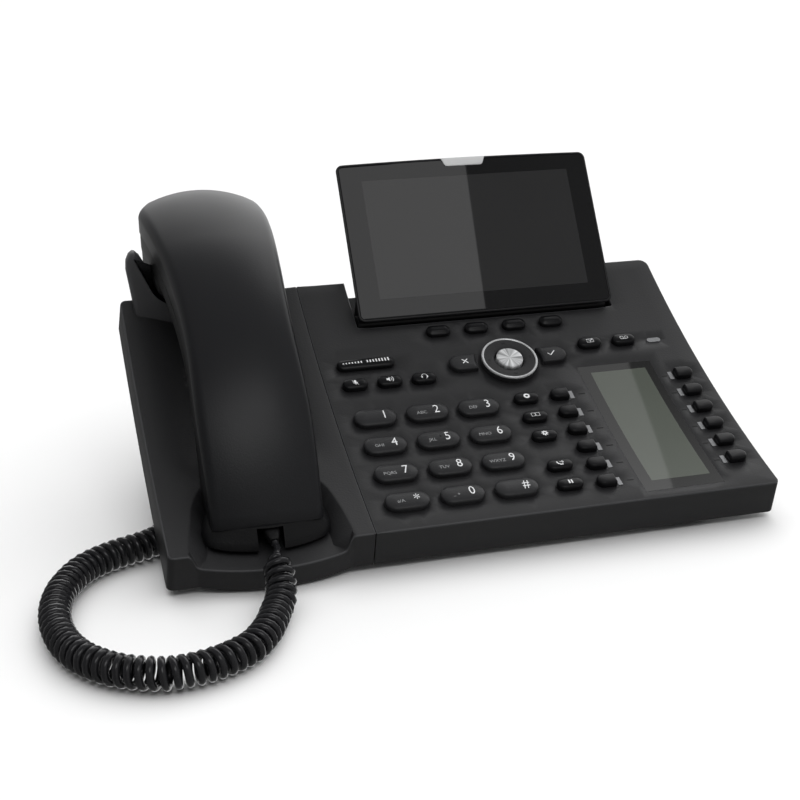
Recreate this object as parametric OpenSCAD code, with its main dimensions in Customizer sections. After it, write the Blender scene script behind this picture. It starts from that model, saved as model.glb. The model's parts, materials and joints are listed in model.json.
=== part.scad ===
// Desk IP phone with a corded handset, a tilting colour display and a label display.
// X runs to the right, Y to the back and Z up. Z = 0 is the desk.
// The face is a shallow concave cylinder about X. A place on it is given as x and
// s, the arc length from the front edge, and a depth into the body as d.

/* [Face and body] */
// Width of the keypad face, edge to edge
face_w = 239; // [239:0.5:240]
// Radius of the concave face
face_r = 500; // [495:1:505]
// Arc length of the face from the front edge to the back edge
face_len = 142.2; // [141:0.1:144]
// Slope of the face at its front edge, in degrees
front_tilt = 15.3; // [15:0.1:15.6]
// Height of the front edge above the desk
front_z = 16.9; // [16.5:0.1:17.5]
// Y of the front edge
front_y = -77.3; // [-78:0.1:-76]
// Height of the skirt round both covers
skirt_h = 14.9; // [14.5:0.1:15.5]
// How far each side skirt leans out over its height
skirt_flare = 0.8; // [0:0.1:1]
// X of the seam between cradle cover and console cover
seam_x = -44.4; // [-45:0.1:-44]
// Wall thickness of the mouldings
wall = 2.4; // [2:0.1:2.6]

/* [Keys] */
// Length of a dial key
dial_key_l = 17.5; // [16:0.1:18]
// Width of a dial key
dial_key_w = 9.3; // [8:0.1:10]
// Column pitch of the dial keys
dial_pitch_x = 21.6; // [21:0.1:22]
// Row pitch of the dial keys
dial_pitch_s = 16; // [15.5:0.1:16.5]
// Height of the keys above the face
key_proud = 2.4; // [2:0.1:2.8]
// Gap round each key in its opening
key_gap = 0.3; // [0.2:0.05:0.35]
// Outer radius of the navigation ring
nav_r = 12; // [11.8:0.1:12.2]
// Radius of the centre button
nav_button_r = 5.7; // [5.5:0.1:5.8]
// Pitch of the line keys
line_pitch = 10.55; // [10.4:0.05:10.6]

/* [Display] */
// Width of the display glass with its rim
disp_w = 115.6; // [115:0.1:116]
// Height of the display glass with its rim
disp_h = 71; // [70:0.1:71.5]
// Tilt of the display glass from the horizontal, in degrees
disp_tilt = 56.1; // [55:0.1:57]
// Thickness of the display housing
disp_t = 9; // [8.5:0.1:9.5]

/* [Handset] */
// X of the middle of the handset
hand_x = -81.7; // [-82:0.1:-81.5]
// Radius of the outer back of the handset along its middle
hand_r = 145; // [144:0.5:146]
// Depth of the outer shell below its crown
hand_shell_h = 13.7; // [13:0.1:14]
// Outer diameter of the curly cord's coil
coil_d = 11.4; // [10:0.1:12]
// Diameter of the cord itself
wire_d = 2.9; // [2.5:0.1:3]

/* [Hidden] */
$fn = 48;
bend_fn = 720;
eps = 0.01;

// Centre of the face's curvature
arc_y = front_y - face_r * sin(front_tilt);
arc_z = front_z + face_r * cos(front_tilt);
half_w = face_w / 2;
body_color = "#3a3b3d";
key_color = "#1c1c1e";

// Key positions: x, and s from the front edge
dial_x = -29;
dial_s = 14;
dial_names = ["key_star", "key_0", "key_hash", "key_7", "key_8", "key_9",
    "key_4", "key_5", "key_6", "key_1", "key_2", "key_3"];
func_x = 35.5;
func_pitch = 11.3;
func_upper_s = 41.8;
func_lower_s = 12.6;
line_left_x = 50.2;
line_left_s = 12;
line_right_x = 108.6;
line_right_s = 17.2;
soft_x = 10.3;
soft_pitch = 17.05;
soft_s = 108.7;
audio_x = -32.4;
audio_pitch = 14.57;
audio_s = 82;
rocker_x = -25.2;
rocker_s = 93.5;
rocker_l = 24.5;
rocker_w = 5.6;
message_x = 74.1;
voicemail_x = 89.9;
message_s = 93.3;
status_x = 104.2;
status_s = 92.4;
nav_x = 35.4;
nav_s = 87;
wing_x = 19.2;
wing_s = 1.3;
pill_l = 10.6;
pill_w = 5.6;
line_key_l = 8;
line_key_w = 5.6;
led_l = 4.4;
led_w = 1.8;
led_dx = 5.5;
status_l = 6.3;
status_w = 2.4;

// Depths below the face
flange_top = 2.6;
flange_t = 1.2;
flange_out = 0.7;
mat_top = 6.2;
board_top = 7.4;
board_t = 1.6;

// Pivots of the navigation ring: depth below the face and pin radius
nav_pivot_d = 5.85;
nav_pin_r = 0.5;

// Label display
label_x0 = 63.8;
label_x1 = 97.6;
label_s0 = 4;
label_s1 = 80.6;

// Recess behind the tilting display
recess_x0 = -23.3;
recess_x1 = 93.2;
recess_s0 = 114.4;
recess_d = 10;

// Display frame: origin at the middle of the glass's bottom edge
disp_x = (recess_x0 + recess_x1) / 2;
disp_y = 28.1;
disp_z = 62.6;
hinge_up = 2;
hinge_in = 10.5;
hinge_s = 121.9;
hinge_r = 4;
trunnion_r = 2.6;
trunnion_l = 5;
glass_rim = 0.9;
glass_t = 1;

// Mouth well and lip of the cradle
well_x = -81;
well_s = 14;
well_r = 28.6;
well_d = 6.3;
lip_r = 81;
lip_out = 5;

// Handset: centre of its arc, and the angles of its two ends from the vertical
hand_y = 63.8;
hand_z = -33.9;
mouth_a = -67.4;
ear_a = 6.9;
hand_crown = 5;
hand_wall = 2.2;
mouth_half = 20.7;
ear_half = 26.1;
ear_end_y = 80.5;
cup_half = 23.7;
cup_s = 15.5;
cup_front = 12.5;
end_s = 12;
cup_z = 5.7;
ear_z = 74.5;

// Screw places: x, s
screw_places = [[-112, 20], [-112, 122], [109, 97], [109, 8]];
screw_r = 1.4;

// Route of the curly cord: the coil's middle line, then the straight tails
coil_route = [
    [-82.6, -83.5, 15.8], [-82.7, -90, 11.6], [-83.8, -96.5, 7.4], [-87, -103.5, 5.8],
    [-92, -114.5, 5.8], [-98.5, -123.5, 5.8], [-106, -128.5, 5.8], [-113.5, -131.5, 5.8],
    [-121.5, -133, 5.8], [-130, -132.5, 5.8], [-141, -127.5, 5.8], [-148, -121.5, 5.8],
    [-153, -115, 5.8], [-157, -106, 5.8], [-159, -96.5, 5.8], [-159.5, -87, 5.8],
    [-158.5, -77.5, 5.8], [-156, -68.5, 5.8], [-151.5, -59.5, 5.8], [-146, -52.5, 5.8],
    [-139, -47.5, 5.8], [-132, -44, 5.8], [-125.5, -41.5, 5.8], [-119.5, -38, 5.8],
    [-114.5, -32.5, 5.8], [-112, -25, 5.8], [-111.5, -16, 5.8]
];
plug_tail = [[-81.2, -74, 16.84], [-81.1, -76, 16.3], [-81.4, -79.5, 16.2], [-82.6, -83.5, 15.8]];
base_tail = [
    [-111.5, -16, 5.8], [-111.5, -11, 7], [-112, -6, 11], [-112.5, -2, 16.5],
    [-111.5, 2, 21.5], [-109, 4.5, 24.6], [-105.22, 5, 25]
];
socket_y = 5;
socket_z = 25;

// Belly under the covers
belly_half = 104;
belly_front = [-66, 3];
belly_back = [56, 34];

function tilt(s) = front_tilt + s / face_r * 180 / PI;
function line_s(k) = (6 - k) * line_pitch;
function smooth(t) = let(c = min(max(t, 0), 1)) c * c * (3 - 2 * c);
function hand_half(y) = mouth_half + (ear_half - mouth_half) * smooth((y + 25) / 85);

// ---------- frames ----------

// Sweeps a 2D profile, drawn as [radius, x], along the face from s0 to s1
module bend(s0, s1) {
    translate([0, arc_y, arc_z]) rotate([90, 0, 90]) rotate([0, 0, tilt(s0) - 90])
        rotate_extrude(angle = tilt(s1) - tilt(s0), $fn = bend_fn) children();
}

// Block between two x, two depths and two arc lengths
module curved_block(x0, x1, d0, d1, s0, s1) {
    bend(s0, s1) translate([face_r + d0, x0]) square([d1 - d0, x1 - x0]);
}

// Local frame on the face: z points out of the body, y up the slope
module on_face(x, s) {
    translate([x, arc_y, arc_z]) rotate([tilt(s), 0, 0]) translate([0, 0, -face_r]) children();
}

// Prism along the local normal between two heights
module prism(z0, z1) {
    translate([0, 0, z0]) linear_extrude(height = z1 - z0) children();
}

// Extrudes a profile drawn as [y, z] from x0 to x1
module across(x0, x1) {
    translate([x0, 0, 0]) rotate([90, 0, 90]) linear_extrude(height = x1 - x0) children();
}

module on_display() {
    translate([disp_x, disp_y, disp_z]) rotate([disp_tilt, 0, 0]) children();
}

// ---------- outlines ----------

module stadium(l, w) {
    square([l - w, w], center = true);
    for (side = [-1, 1]) translate([side * (l - w) / 2, 0]) circle(d = w);
}

// Line key outline: flat on the side named by dir, round on the other
module line_outline(l, w, dir) {
    translate([dir * w / 4, 0]) square([l - w / 2, w], center = true);
    translate([-dir * (l - w) / 2, 0]) circle(d = w);
}

module round_rect(w, h, r) {
    square([w - 2 * r, h], center = true);
    square([w, h - 2 * r], center = true);
    for (i = [-1, 1], j = [-1, 1])
        translate([i * (w / 2 - r), j * (h / 2 - r)]) circle(r = r);
}

// ---------- keys ----------

// A key: cap above, retaining flange below the cover, drawn from a 2D outline
module key_cap(grow = 0) {
    color(key_color) {
        prism(-flange_top - eps, key_proud - 0.6) children(0);
        prism(key_proud - 0.6, key_proud) children(1);
        prism(-flange_top - flange_t, -flange_top) children(2);
    }
}

module stadium_key(x, s, l, w) {
    on_face(x, s) key_cap() {
        stadium(l, w);
        stadium(l - 1.2, w - 1.2);
        stadium(l + 2 * flange_out, w + 2 * flange_out);
    }
}

module dial_key(name) {
    k = search([name], dial_names)[0];
    stadium_key(dial_x + (k % 3) * dial_pitch_x, dial_s + floor(k / 3) * dial_pitch_s,
        dial_key_l, dial_key_w);
}

module line_key(x, s, dir) {
    on_face(x, s) key_cap() {
        line_outline(line_key_l, line_key_w, dir);
        line_outline(line_key_l - 1.2, line_key_w - 1.2, dir);
        line_outline(line_key_l + 2 * flange_out - 0.4, line_key_w + 2 * flange_out, dir);
    }
}

// Cancel and confirm keys hug the navigation ring with a hollow side
module wing_outline(side, grow) {
    difference() {
        translate([side * wing_x, wing_s]) stadium(13.5 + 2 * grow, 8.6 + 2 * grow);
        circle(r = nav_r + 1.5 - grow);
    }
}

module wing_key(side) {
    on_face(nav_x, nav_s) key_cap() {
        wing_outline(side, 0);
        wing_outline(side, -0.5);
        wing_outline(side, 0.3);
    }
}

module volume_rocker() {
    color(key_color) on_face(rocker_x, rocker_s) {
        prism(-3.6 - eps, 1.6) stadium(rocker_l, rocker_w);
        prism(1.6, 2.2) stadium(rocker_l - 1.2, rocker_w - 1.2);
        prism(-4.6, -3.6) stadium(rocker_l + 0.8, rocker_w + 1.4);
        translate([0, 4.3, -4]) rotate([90, 0, 0]) cylinder(r = 1, h = 8.6);
    }
}

module nav_ring() {
    color("#6a6b6d") on_face(nav_x, nav_s) difference() {
        union() {
            prism(-3.4 - eps, 3) circle(r = nav_r);
            prism(3, 3.5) circle(r = nav_r - 0.5);
            prism(-4.4, -3.4) circle(r = nav_r + 1);
        }
        prism(-6, 5) circle(r = nav_button_r + 0.6);
    }
    // Two lugs with pins that swing in the gimbal
    color("#6a6b6d") on_face(nav_x, nav_s) for (side = [-1, 1]) {
        translate([0, side * 10, 0]) prism(-nav_pivot_d - 0.5, -4.3) square([1.6, 1.2], center = true);
        translate([0, side * 8.9 + 1.2, -nav_pivot_d]) rotate([90, 0, 0])
            cylinder(r = nav_pin_r, h = 2.4);
    }
}

// Gimbal ring below the navigation ring: pins to the left and right, bores for the ring's pins
module nav_gimbal() {
    color("#222222") on_face(nav_x, nav_s) {
        difference() {
            prism(-nav_pivot_d - 0.9, -nav_pivot_d + 0.9) difference() {
                circle(r = 9);
                circle(r = 6.8);
            }
            translate([0, 12, -nav_pivot_d]) rotate([90, 0, 0])
                cylinder(r = nav_pin_r + 0.05, h = 24);
        }
        for (side = [-1, 1]) translate([side * 10.2 - 1.8, 0, -nav_pivot_d]) rotate([0, 90, 0])
            cylinder(r = nav_pin_r, h = 3.6);
    }
}

module nav_button() {
    color("silver") on_face(nav_x, nav_s) {
        prism(-3.4, 3.4) circle(r = nav_button_r);
        prism(3.4, 3.7) circle(r = nav_button_r - 0.4);
        prism(-5.8, -3.4 + eps) circle(r = 3);
    }
}

// ---------- covers ----------

module key_openings() {
    for (i = [0 : 2], j = [0 : 3])
        on_face(dial_x + i * dial_pitch_x, dial_s + j * dial_pitch_s)
            prism(-4, 2) stadium(dial_key_l + 2 * key_gap, dial_key_w + 2 * key_gap);
    for (k = [0 : 2]) pill_opening(func_x, func_upper_s + k * func_pitch);
    for (k = [0 : 1]) pill_opening(func_x, func_lower_s + k * func_pitch);
    for (k = [0 : 3]) pill_opening(soft_x + k * soft_pitch, soft_s);
    for (k = [0 : 2]) pill_opening(audio_x + k * audio_pitch, audio_s);
    for (x = [message_x, voicemail_x]) pill_opening(x, message_s);
    for (k = [1 : 6]) {
        line_opening(line_left_x, line_left_s + line_s(k), 1);
        line_opening(line_right_x, line_right_s + line_s(k), -1);
    }
    on_face(rocker_x, rocker_s) prism(-4, 2) stadium(rocker_l + 1, rocker_w + 0.8);
    on_face(nav_x, nav_s) prism(-4, 2) {
        circle(r = nav_r + 0.6);
        for (side = [-1, 1]) wing_outline(side, key_gap);
    }
    on_face(status_x, status_s) prism(-4, 2) stadium(status_l + 0.1, status_w + 0.1);
}

module pill_opening(x, s) {
    on_face(x, s) prism(-4, 2) stadium(pill_l + 2 * key_gap, pill_w + 2 * key_gap);
}

module line_opening(x, s, dir) {
    on_face(x, s) prism(-4, 2) {
        line_outline(line_key_l + 2 * key_gap, line_key_w + 2 * key_gap, dir);
        translate([dir * led_dx, 0]) square([led_w + 0.1, led_l + 0.1], center = true);
    }
}

// Post under a cover that a housing screw bites into
module screw_post(x, s) {
    on_face(x, s) prism(-12.6, -wall + eps) circle(r = 3.4);
}

module screw_pilot(x, s) {
    on_face(x, s) prism(-13, -5) circle(r = screw_r + 0.05);
}

// Rounds an outer corner of the body in plan; i and j say which corner
module corner_cut(x, s, i, j, r) {
    on_face(x - i * r, s - j * r) prism(-20, 5) difference() {
        translate([i * r, j * r]) square(2 * r, center = true);
        circle(r = r);
    }
}

module console_cover() {
    color(body_color) difference() {
        union() {
            difference() {
                bend(0, face_len) polygon([
                    [face_r, seam_x], [face_r, half_w],
                    [face_r + skirt_h, half_w + skirt_flare], [face_r + skirt_h, seam_x]]);
                curved_block(seam_x - 1, half_w - wall, wall, 20, wall, face_len - wall);
                curved_block(recess_x0, recess_x1, -2, recess_d, recess_s0, face_len + 2);
            }
            recess_tray();
            hinge_bosses();
            for (p = screw_places) if (p[0] > seam_x) screw_post(p[0], p[1]);
        }
        key_openings();
        curved_block(label_x0 - 0.1, label_x1 + 0.1, -1, 4, label_s0 - 0.1, label_s1 + 0.1);
        hinge_line(recess_x0 - trunnion_l - 0.4, recess_x0 + 0.5, trunnion_r + 0.05);
        hinge_line(recess_x1 - 0.5, recess_x1 + trunnion_l + 0.4, trunnion_r + 0.05);
        for (p = screw_places) if (p[0] > seam_x) screw_pilot(p[0], p[1]);
        corner_cut(half_w + skirt_flare, face_len, 1, 1, 4);
        corner_cut(half_w + skirt_flare, 0, 1, -1, 2.5);
    }
}

// Floor, sides and front of the recess behind the display, open at the back
module recess_tray() {
    low = recess_d + 1.6;
    left = recess_x0 - 1.6;
    right = recess_x1 + 1.6;
    back = face_len - 1;
    curved_block(left, right, recess_d, low, recess_s0 - 1.2, back);
    curved_block(left, right, 1, low, recess_s0 - 1.2, recess_s0 - 0.1);
    curved_block(left, recess_x0 - 0.1, 1, low, recess_s0 - 1.2, back);
    curved_block(recess_x1 + 0.1, right, 1, low, recess_s0 - 1.2, back);
}

// Cylinder on the display's hinge line
module hinge_line(x0, x1, r) {
    translate([0, disp_y, disp_z]) rotate([disp_tilt, 0, 0])
        translate([x0, hinge_up, -hinge_in]) rotate([0, 90, 0]) cylinder(r = r, h = x1 - x0);
}

module hinge_bosses() {
    reach = trunnion_l + 1.6;
    curved_block(recess_x0 - reach, recess_x0 - 1, 1, 10.8, hinge_s - 5.5, hinge_s + 5.5);
    curved_block(recess_x1 + 1, recess_x1 + reach, 1, 10.8, hinge_s - 5.5, hinge_s + 5.5);
}

// Mouth well in plan, in the frame at well_s: straight to the front, round at the back
module well_outline(grow) {
    circle(r = well_r + grow);
    translate([0, -15]) square([2 * (well_r + grow), 30], center = true);
}

// Ear rest in the x, z plane: a tall horn on the left and a low saddle to its right
module ear_rest_outline() {
    union() {
        union() {
            polygon([[-114.4, 58], [-116.4, 87], [-115.5, 92.3], [-111, 92.3], [-108.6, 88],
                [-108.6, 74.2], [-64, 74.2], [-62, 58]]);
            translate([-113.2, 92.3]) circle(r = 2.4);
        }
    }
}

module cradle_cover() {
    color(body_color) difference() {
        union() {
            difference() {
                bend(0, face_len) polygon([
                    [face_r, -half_w], [face_r, seam_x - 0.15],
                    [face_r + skirt_h, seam_x - 0.15],
                    [face_r + skirt_h, -half_w - skirt_flare]]);
                curved_block(-half_w + wall, seam_x + 1, wall, 20, wall, face_len - wall);
            }
            intersection() {
                curved_block(-115, -47, 0, well_d + 2, 0, 50);
                on_face(well_x, well_s) prism(-12, 5) well_outline(2);
            }
            on_face(well_x, 0) prism(-skirt_h, -well_d) intersection() {
                translate([0, lip_r - lip_out]) circle(r = lip_r, $fn = 180);
                translate([0, -9]) square([70, 20], center = true);
            }
            translate([0, 52.6, 0]) rotate([90, 0, 0])
                linear_extrude(height = 7) difference() {
                    ear_rest_outline();
                    translate([-130, 40]) square([90, 24]);
                }
            for (p = screw_places) if (p[0] < seam_x) screw_post(p[0], p[1]);
        }
        intersection() {
            curved_block(-115, -47, -3, well_d, -12, 50);
            on_face(well_x, well_s) prism(-12, 5) well_outline(0);
        }
        for (k = [0 : 4]) on_face(hand_x, 92 + 4 * k) prism(-4, 2) stadium(34, 1.4);
        for (p = screw_places) if (p[0] < seam_x) screw_pilot(p[0], p[1]);
        corner_cut(-half_w - skirt_flare, 0, -1, -1, 2.5);
        corner_cut(-half_w - skirt_flare, face_len, -1, 1, 2.5);
    }
    color("#202020") on_face(hand_x, 100) {
        prism(-5, -wall - 0.5) circle(r = 20);
        prism(-12.5, -5 + eps) circle(r = 12);
    }
}

// ---------- lower housing, stand and feet ----------

// Belly in the y, z plane; inset is the wall thickness taken off
module belly_profile(inset) {
    difference() {
        polygon([
            belly_front + [inset, inset * 1.1], belly_back + [-inset, inset * 0.75],
            [belly_back[0] - inset, 75], [belly_front[0] + inset, 75]]);
        translate([arc_y, arc_z]) circle(r = face_r + 12.9, $fn = bend_fn);
        translate([70, 57]) square([40, 60], center = true);
    }
}

module lower_housing() {
    color(body_color) difference() {
        union() {
            curved_block(-half_w + wall + 0.2, half_w - wall - 0.2, 12.9, skirt_h,
                wall + 0.2, face_len - wall - 0.2);
            across(-belly_half, belly_half) belly_profile(0);
        }
        across(-belly_half + 2, belly_half - 2) belly_profile(2);
        curved_block(-belly_half + 5, belly_half - 5, 12, 16, 14, 131);
        for (p = screw_places) on_face(p[0], p[1]) {
            prism(-20, -5) circle(r = 1.6);
        }
        translate([26, 50, 46]) cube([13.4, 14, 10.4], center = true);
        translate([44, 50, 46]) cube([13.4, 14, 10.4], center = true);
    }
    color("#1a1a1a") translate([-belly_half - 1.2, socket_y - 3.5, socket_z - 3]) cube([1.2, 7, 6]);
}

module housing_screws() {
    color("dimgray") for (p = screw_places) on_face(p[0], p[1]) {
        prism(-skirt_h - 1.4, -skirt_h - 0.02) circle(r = 2.7);
        prism(-skirt_h - 0.02 - eps, -6.5) circle(r = screw_r);
    }
}

// Removable stand: an upright panel with a foot, clipped under the belly's back
module foot_stand() {
    color(body_color) across(-72, 72)
        polygon([[36, 28.85], [41, 30.12], [54, 6], [64, 4], [64, 1.6], [44, 1.6], [44, 6]]);
}

module rubber_feet() {
    color("#151515") {
        for (x = [-103, 76]) across(x, x + 16)
            polygon([[-65.5, 0], [-54, 0], [-54, 5.95], [-65.5, 3.05]]);
        for (x = [-60, 60]) translate([x, 54, 0]) cylinder(r = 5, h = 1.58);
    }
}

// ---------- display ----------

module display_housing() {
    color(body_color) {
        on_display() translate([0, disp_h / 2, 0]) difference() {
            union() {
                prism(-4.5, 0) round_rect(disp_w, disp_h, 3);
                prism(-disp_t, -4.5 + eps) round_rect(disp_w - 5, disp_h - 5, 4);
            }
            prism(-glass_t - 0.1, 1) round_rect(disp_w - 2 * glass_rim, disp_h - 2 * glass_rim, 2.2);
            prism(-6.8, 1) round_rect(disp_w - 9, disp_h - 9, 1.5);
            translate([0, disp_h / 2 - 1.4, 0]) prism(-3, 1) square([20.2, 3.4], center = true);
        }
        hinge_line(recess_x0 + 0.5, recess_x1 - 0.5, hinge_r);
        hinge_line(recess_x0 - trunnion_l, recess_x1 + trunnion_l, trunnion_r);
    }
}

// Cover glass with the colour panel behind it
module display_screen() {
    on_display() translate([0, disp_h / 2, 0]) {
        color("#101112") difference() {
            prism(-glass_t, -0.05)
                round_rect(disp_w - 2 * glass_rim - 0.2, disp_h - 2 * glass_rim - 0.2, 2.1);
            translate([0, disp_h / 2 - 1.4, 0]) prism(-3, 1) square([20.4, 3.6], center = true);
        }
        color("#303234") prism(-5.5, -glass_t) square([105, 60], center = true);
    }
}

module alert_light_lens() {
    color("lightgray") on_display() translate([0, disp_h - 1.4, 0])
        prism(-2.9, 0.5) square([20, 2.6], center = true);
}

module led_lenses() {
    color("whitesmoke") {
        for (k = [1 : 6]) {
            led_bar(line_left_x + led_dx, line_left_s + line_s(k));
            led_bar(line_right_x - led_dx, line_right_s + line_s(k));
        }
        on_face(status_x, status_s) prism(-wall, 0.2) stadium(status_l, status_w);
    }
}

module led_bar(x, s) {
    on_face(x, s) prism(-wall, 0.15) square([led_w, led_l], center = true);
}

// Glass over the monochrome panel, following the face
module label_display() {
    color("#20262a") curved_block(label_x0, label_x1, 0, 1.5, label_s0, label_s1);
    color("#5c6660") curved_block(label_x0 + 2, label_x1 - 2, 1.5, 4.5, label_s0 + 2, label_s1 - 2);
}

// Main board with the silicone key mat on it, and the rear board with two sockets
module main_circuit_board() {
    color("darkgreen") difference() {
        curved_block(seam_x + 3, 115, board_top, board_top + board_t, 5, 110);
        for (p = screw_places) on_face(p[0], p[1]) prism(-12, -6) circle(r = 4);
    }
    color("#303030") difference() {
        curved_block(seam_x + 4, 114, mat_top, board_top, 6, 109);
        on_face(nav_x, nav_s) prism(-9, -4) circle(r = 13.6);
        for (p = screw_places) on_face(p[0], p[1]) prism(-12, -4) circle(r = 4);
    }
    color("darkgreen") translate([14, 39, 37.5]) cube([42, 1.6, 13.9]);
    color("#2a2a2a") for (x = [26, 44]) translate([x, 48, 46]) difference() {
        cube([13, 14.8, 10], center = true);
        translate([0, 2.5, 0]) cube([10.6, 12, 7.6], center = true);
    }
}

// ---------- handset ----------

// Sweeps a 2D profile, drawn as [radius, x], along the handset's arc
module hand_bend(a0, a1) {
    translate([hand_x, hand_y, hand_z]) rotate([90, 0, 90]) rotate([0, 0, 90 - a1])
        rotate_extrude(angle = a1 - a0, $fn = 360) children();
}

// Crowned cross-section between a bottom radius and the crown, less inset
module crown_profile(r0, inset) {
    crown_r = (ear_half * ear_half + hand_crown * hand_crown) / (2 * hand_crown);
    intersection() {
        translate([hand_r - crown_r - inset, 0]) circle(r = crown_r, $fn = 180);
        translate([r0, -30]) square([hand_r - r0, 60]);
    }
}

// Plan of the handset: slim grip that widens to the ear, with round ear corners
module hand_plan(inset) {
    ys = [for (k = [0 : 16]) -75 + 155.5 * k / 16];
    right = [for (y = ys) [hand_half(y) - inset, min(y, ear_end_y - inset)]];
    left = [for (k = [16 : -1 : 0]) [-right[k][0], right[k][1]]];
    intersection() {
        polygon(concat(right, left));
        union() {
            translate([0, -20]) square([80, 178], center = true);
            translate([0, ear_end_y - 6 - inset]) square([2 * (ear_half - inset) - 24, 12], center = true);
            for (i = [-1, 1])
                translate([i * (ear_half - inset - 12), ear_end_y - inset - 12]) circle(r = 12);
        }
    }
}

module hand_prism(inset, z0, z1) {
    translate([hand_x, 0, z0]) linear_extrude(height = z1 - z0) hand_plan(inset);
}

module handset_outer_shell() {
    inner_r = hand_r - hand_shell_h;
    color(body_color) difference() {
        intersection() {
            hand_bend(mouth_a, 9) crown_profile(inner_r, 0);
            hand_prism(0, 0, 130);
            on_face(hand_x, end_s) prism(0, 160) translate([0, 100]) square(400, center = true);
        }
        intersection() {
            hand_bend(mouth_a + 1, 12) crown_profile(inner_r - 1, hand_wall);
            hand_prism(hand_wall, 0, 130);
        }
    }
}

// Plan of the mouth cup in the frame at cup_s, with a gently rounded front
module cup_plan() {
    intersection() {
        union() {
            circle(r = cup_half);
            translate([0, -6]) square([2 * cup_half, 12], center = true);
        }
        translate([0, 54 - cup_front]) circle(r = 54, $fn = 180);
    }
}

// Side of the mouth cup: under the shell's arc, and the toe that closes its end
module mouth_side() {
    top = hand_r - hand_shell_h - 0.2;
    hand_bend(-110, 0) translate([0, -30]) square([top, 60]);
    hand_bend(-80, mouth_a - 0.3) translate([60, -30]) square([83.5, 60]);
    on_face(hand_x, end_s) prism(-20, -0.1) square(160, center = true);
}

module inner_form() {
    top = hand_r - hand_shell_h - 0.2;
    difference() {
        intersection() {
            hand_bend(mouth_a + 2, 9) translate([118, -30]) square([top - 118, 60]);
            hand_prism(0, 0, 130);
        }
        on_face(hand_x, 40) prism(-40, 1) square(110, center = true);
    }
    intersection() {
        on_face(hand_x, cup_s) {
            prism(-cup_z, 4) cup_plan();
            prism(3, 40) intersection() {
                cup_plan();
                square([2 * mouth_half, 60], center = true);
            }
        }
        mouth_side();
    }
    intersection() {
        hand_prism(0.6, ear_z, 130);
        hand_bend(-30, 9) translate([40, -30]) square([top - 40, 60]);
        translate([-200, 36, 0]) cube([200, 100, 200]);
    }
}

module handset_inner_shell() {
    color("#2c2d2f") difference() {
        inner_form();
        hand_bend(-52, -8) translate([121, -16]) square([30, 32]);
        on_face(hand_x, 24) prism(-cup_z + hand_wall, 60) circle(r = 11.5);
        translate([hand_x, 58, ear_z + hand_wall]) cylinder(r = 19, h = 60);
        jack_pocket();
    }
    color("#141414") {
        translate([hand_x, 58, ear_z + hand_wall + 0.1]) cylinder(r = 14, h = 7);
        on_face(hand_x, 24) prism(-3.4, 1) circle(r = 5);
    }
}

module jack_pocket() {
    on_face(hand_x - 0.6, 9) prism(-4.9, 1.6) square([9.6, 14], center = true);
}

// Modular plug at the handset end of the cord
module handset_plug() {
    color("#1a1a1a") on_face(-81.2, 9) translate([0, 0.9, -0.9]) rotate([90, 0, 0])
        linear_extrude(height = 6.4) circle(r = 2.2);
}

// ---------- cord ----------

function unit(v) = v / norm(v);
function tangent(p, i) = unit(p[min(i + 1, len(p) - 1)] - p[max(i - 1, 0)]);
function side_dir(t) = unit(cross(t, abs(t[2]) > 0.9 ? [1, 0, 0] : [0, 0, 1]));
function ring(c, t, r, n) = let(a = side_dir(t), b = cross(a, t))
    [for (k = [0 : n - 1]) c + r * (cos(360 * k / n) * a + sin(360 * k / n) * b)];

// Tube of n sides along a list of points
module tube(route, d, n) {
    count = len(route);
    points = [for (i = [0 : count - 1]) each ring(route[i], tangent(route, i), d / 2, n)];
    walls = [for (i = [0 : count - 2], k = [0 : n - 1])
        let(m = (k + 1) % n) [i * n + k, i * n + m, (i + 1) * n + m, (i + 1) * n + k]];
    start = [for (k = [n - 1 : -1 : 0]) k];
    finish = [for (k = [0 : n - 1]) (count - 1) * n + k];
    polyhedron(points = points, faces = concat([start], walls, [finish]), convexity = 6);
}

module handset_cord() {
    color("#101012") {
        tube(coil_route, coil_d, 10);
        tube(plug_tail, wire_d, 8);
        tube(base_tail, wire_d, 8);
    }
}

lower_housing();
console_cover();
cradle_cover();
foot_stand();
rubber_feet();
housing_screws();
display_housing();
display_screen();
alert_light_lens();
led_lenses();
label_display();
main_circuit_board();
nav_gimbal();
nav_ring();
nav_button();
handset_outer_shell();
handset_inner_shell();
handset_plug();
handset_cord();
volume_rocker();
stadium_key(audio_x, audio_s, pill_l, pill_w);  // mute_key
stadium_key(audio_x + audio_pitch, audio_s, pill_l, pill_w);  // speaker_key
stadium_key(audio_x + 2 * audio_pitch, audio_s, pill_l, pill_w);  // headset_key
wing_key(-1);  // cancel_key
wing_key(1);  // confirm_key
stadium_key(message_x, message_s, pill_l, pill_w);  // message_key
stadium_key(voicemail_x, message_s, pill_l, pill_w);  // voicemail_key
stadium_key(func_x, func_upper_s + 2 * func_pitch, pill_l, pill_w);  // dnd_key
stadium_key(func_x, func_upper_s + func_pitch, pill_l, pill_w);  // directory_key
stadium_key(func_x, func_upper_s, pill_l, pill_w);  // settings_key
stadium_key(func_x, func_lower_s + func_pitch, pill_l, pill_w);  // transfer_key
stadium_key(func_x, func_lower_s, pill_l, pill_w);  // hold_key
dial_key("key_1");  // key_1
dial_key("key_2");  // key_2
dial_key("key_3");  // key_3
dial_key("key_4");  // key_4
dial_key("key_5");  // key_5
dial_key("key_6");  // key_6
dial_key("key_7");  // key_7
dial_key("key_8");  // key_8
dial_key("key_9");  // key_9
dial_key("key_star");  // key_star
dial_key("key_0");  // key_0
dial_key("key_hash");  // key_hash
stadium_key(soft_x, soft_s, pill_l, pill_w);  // soft_key_1
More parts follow.
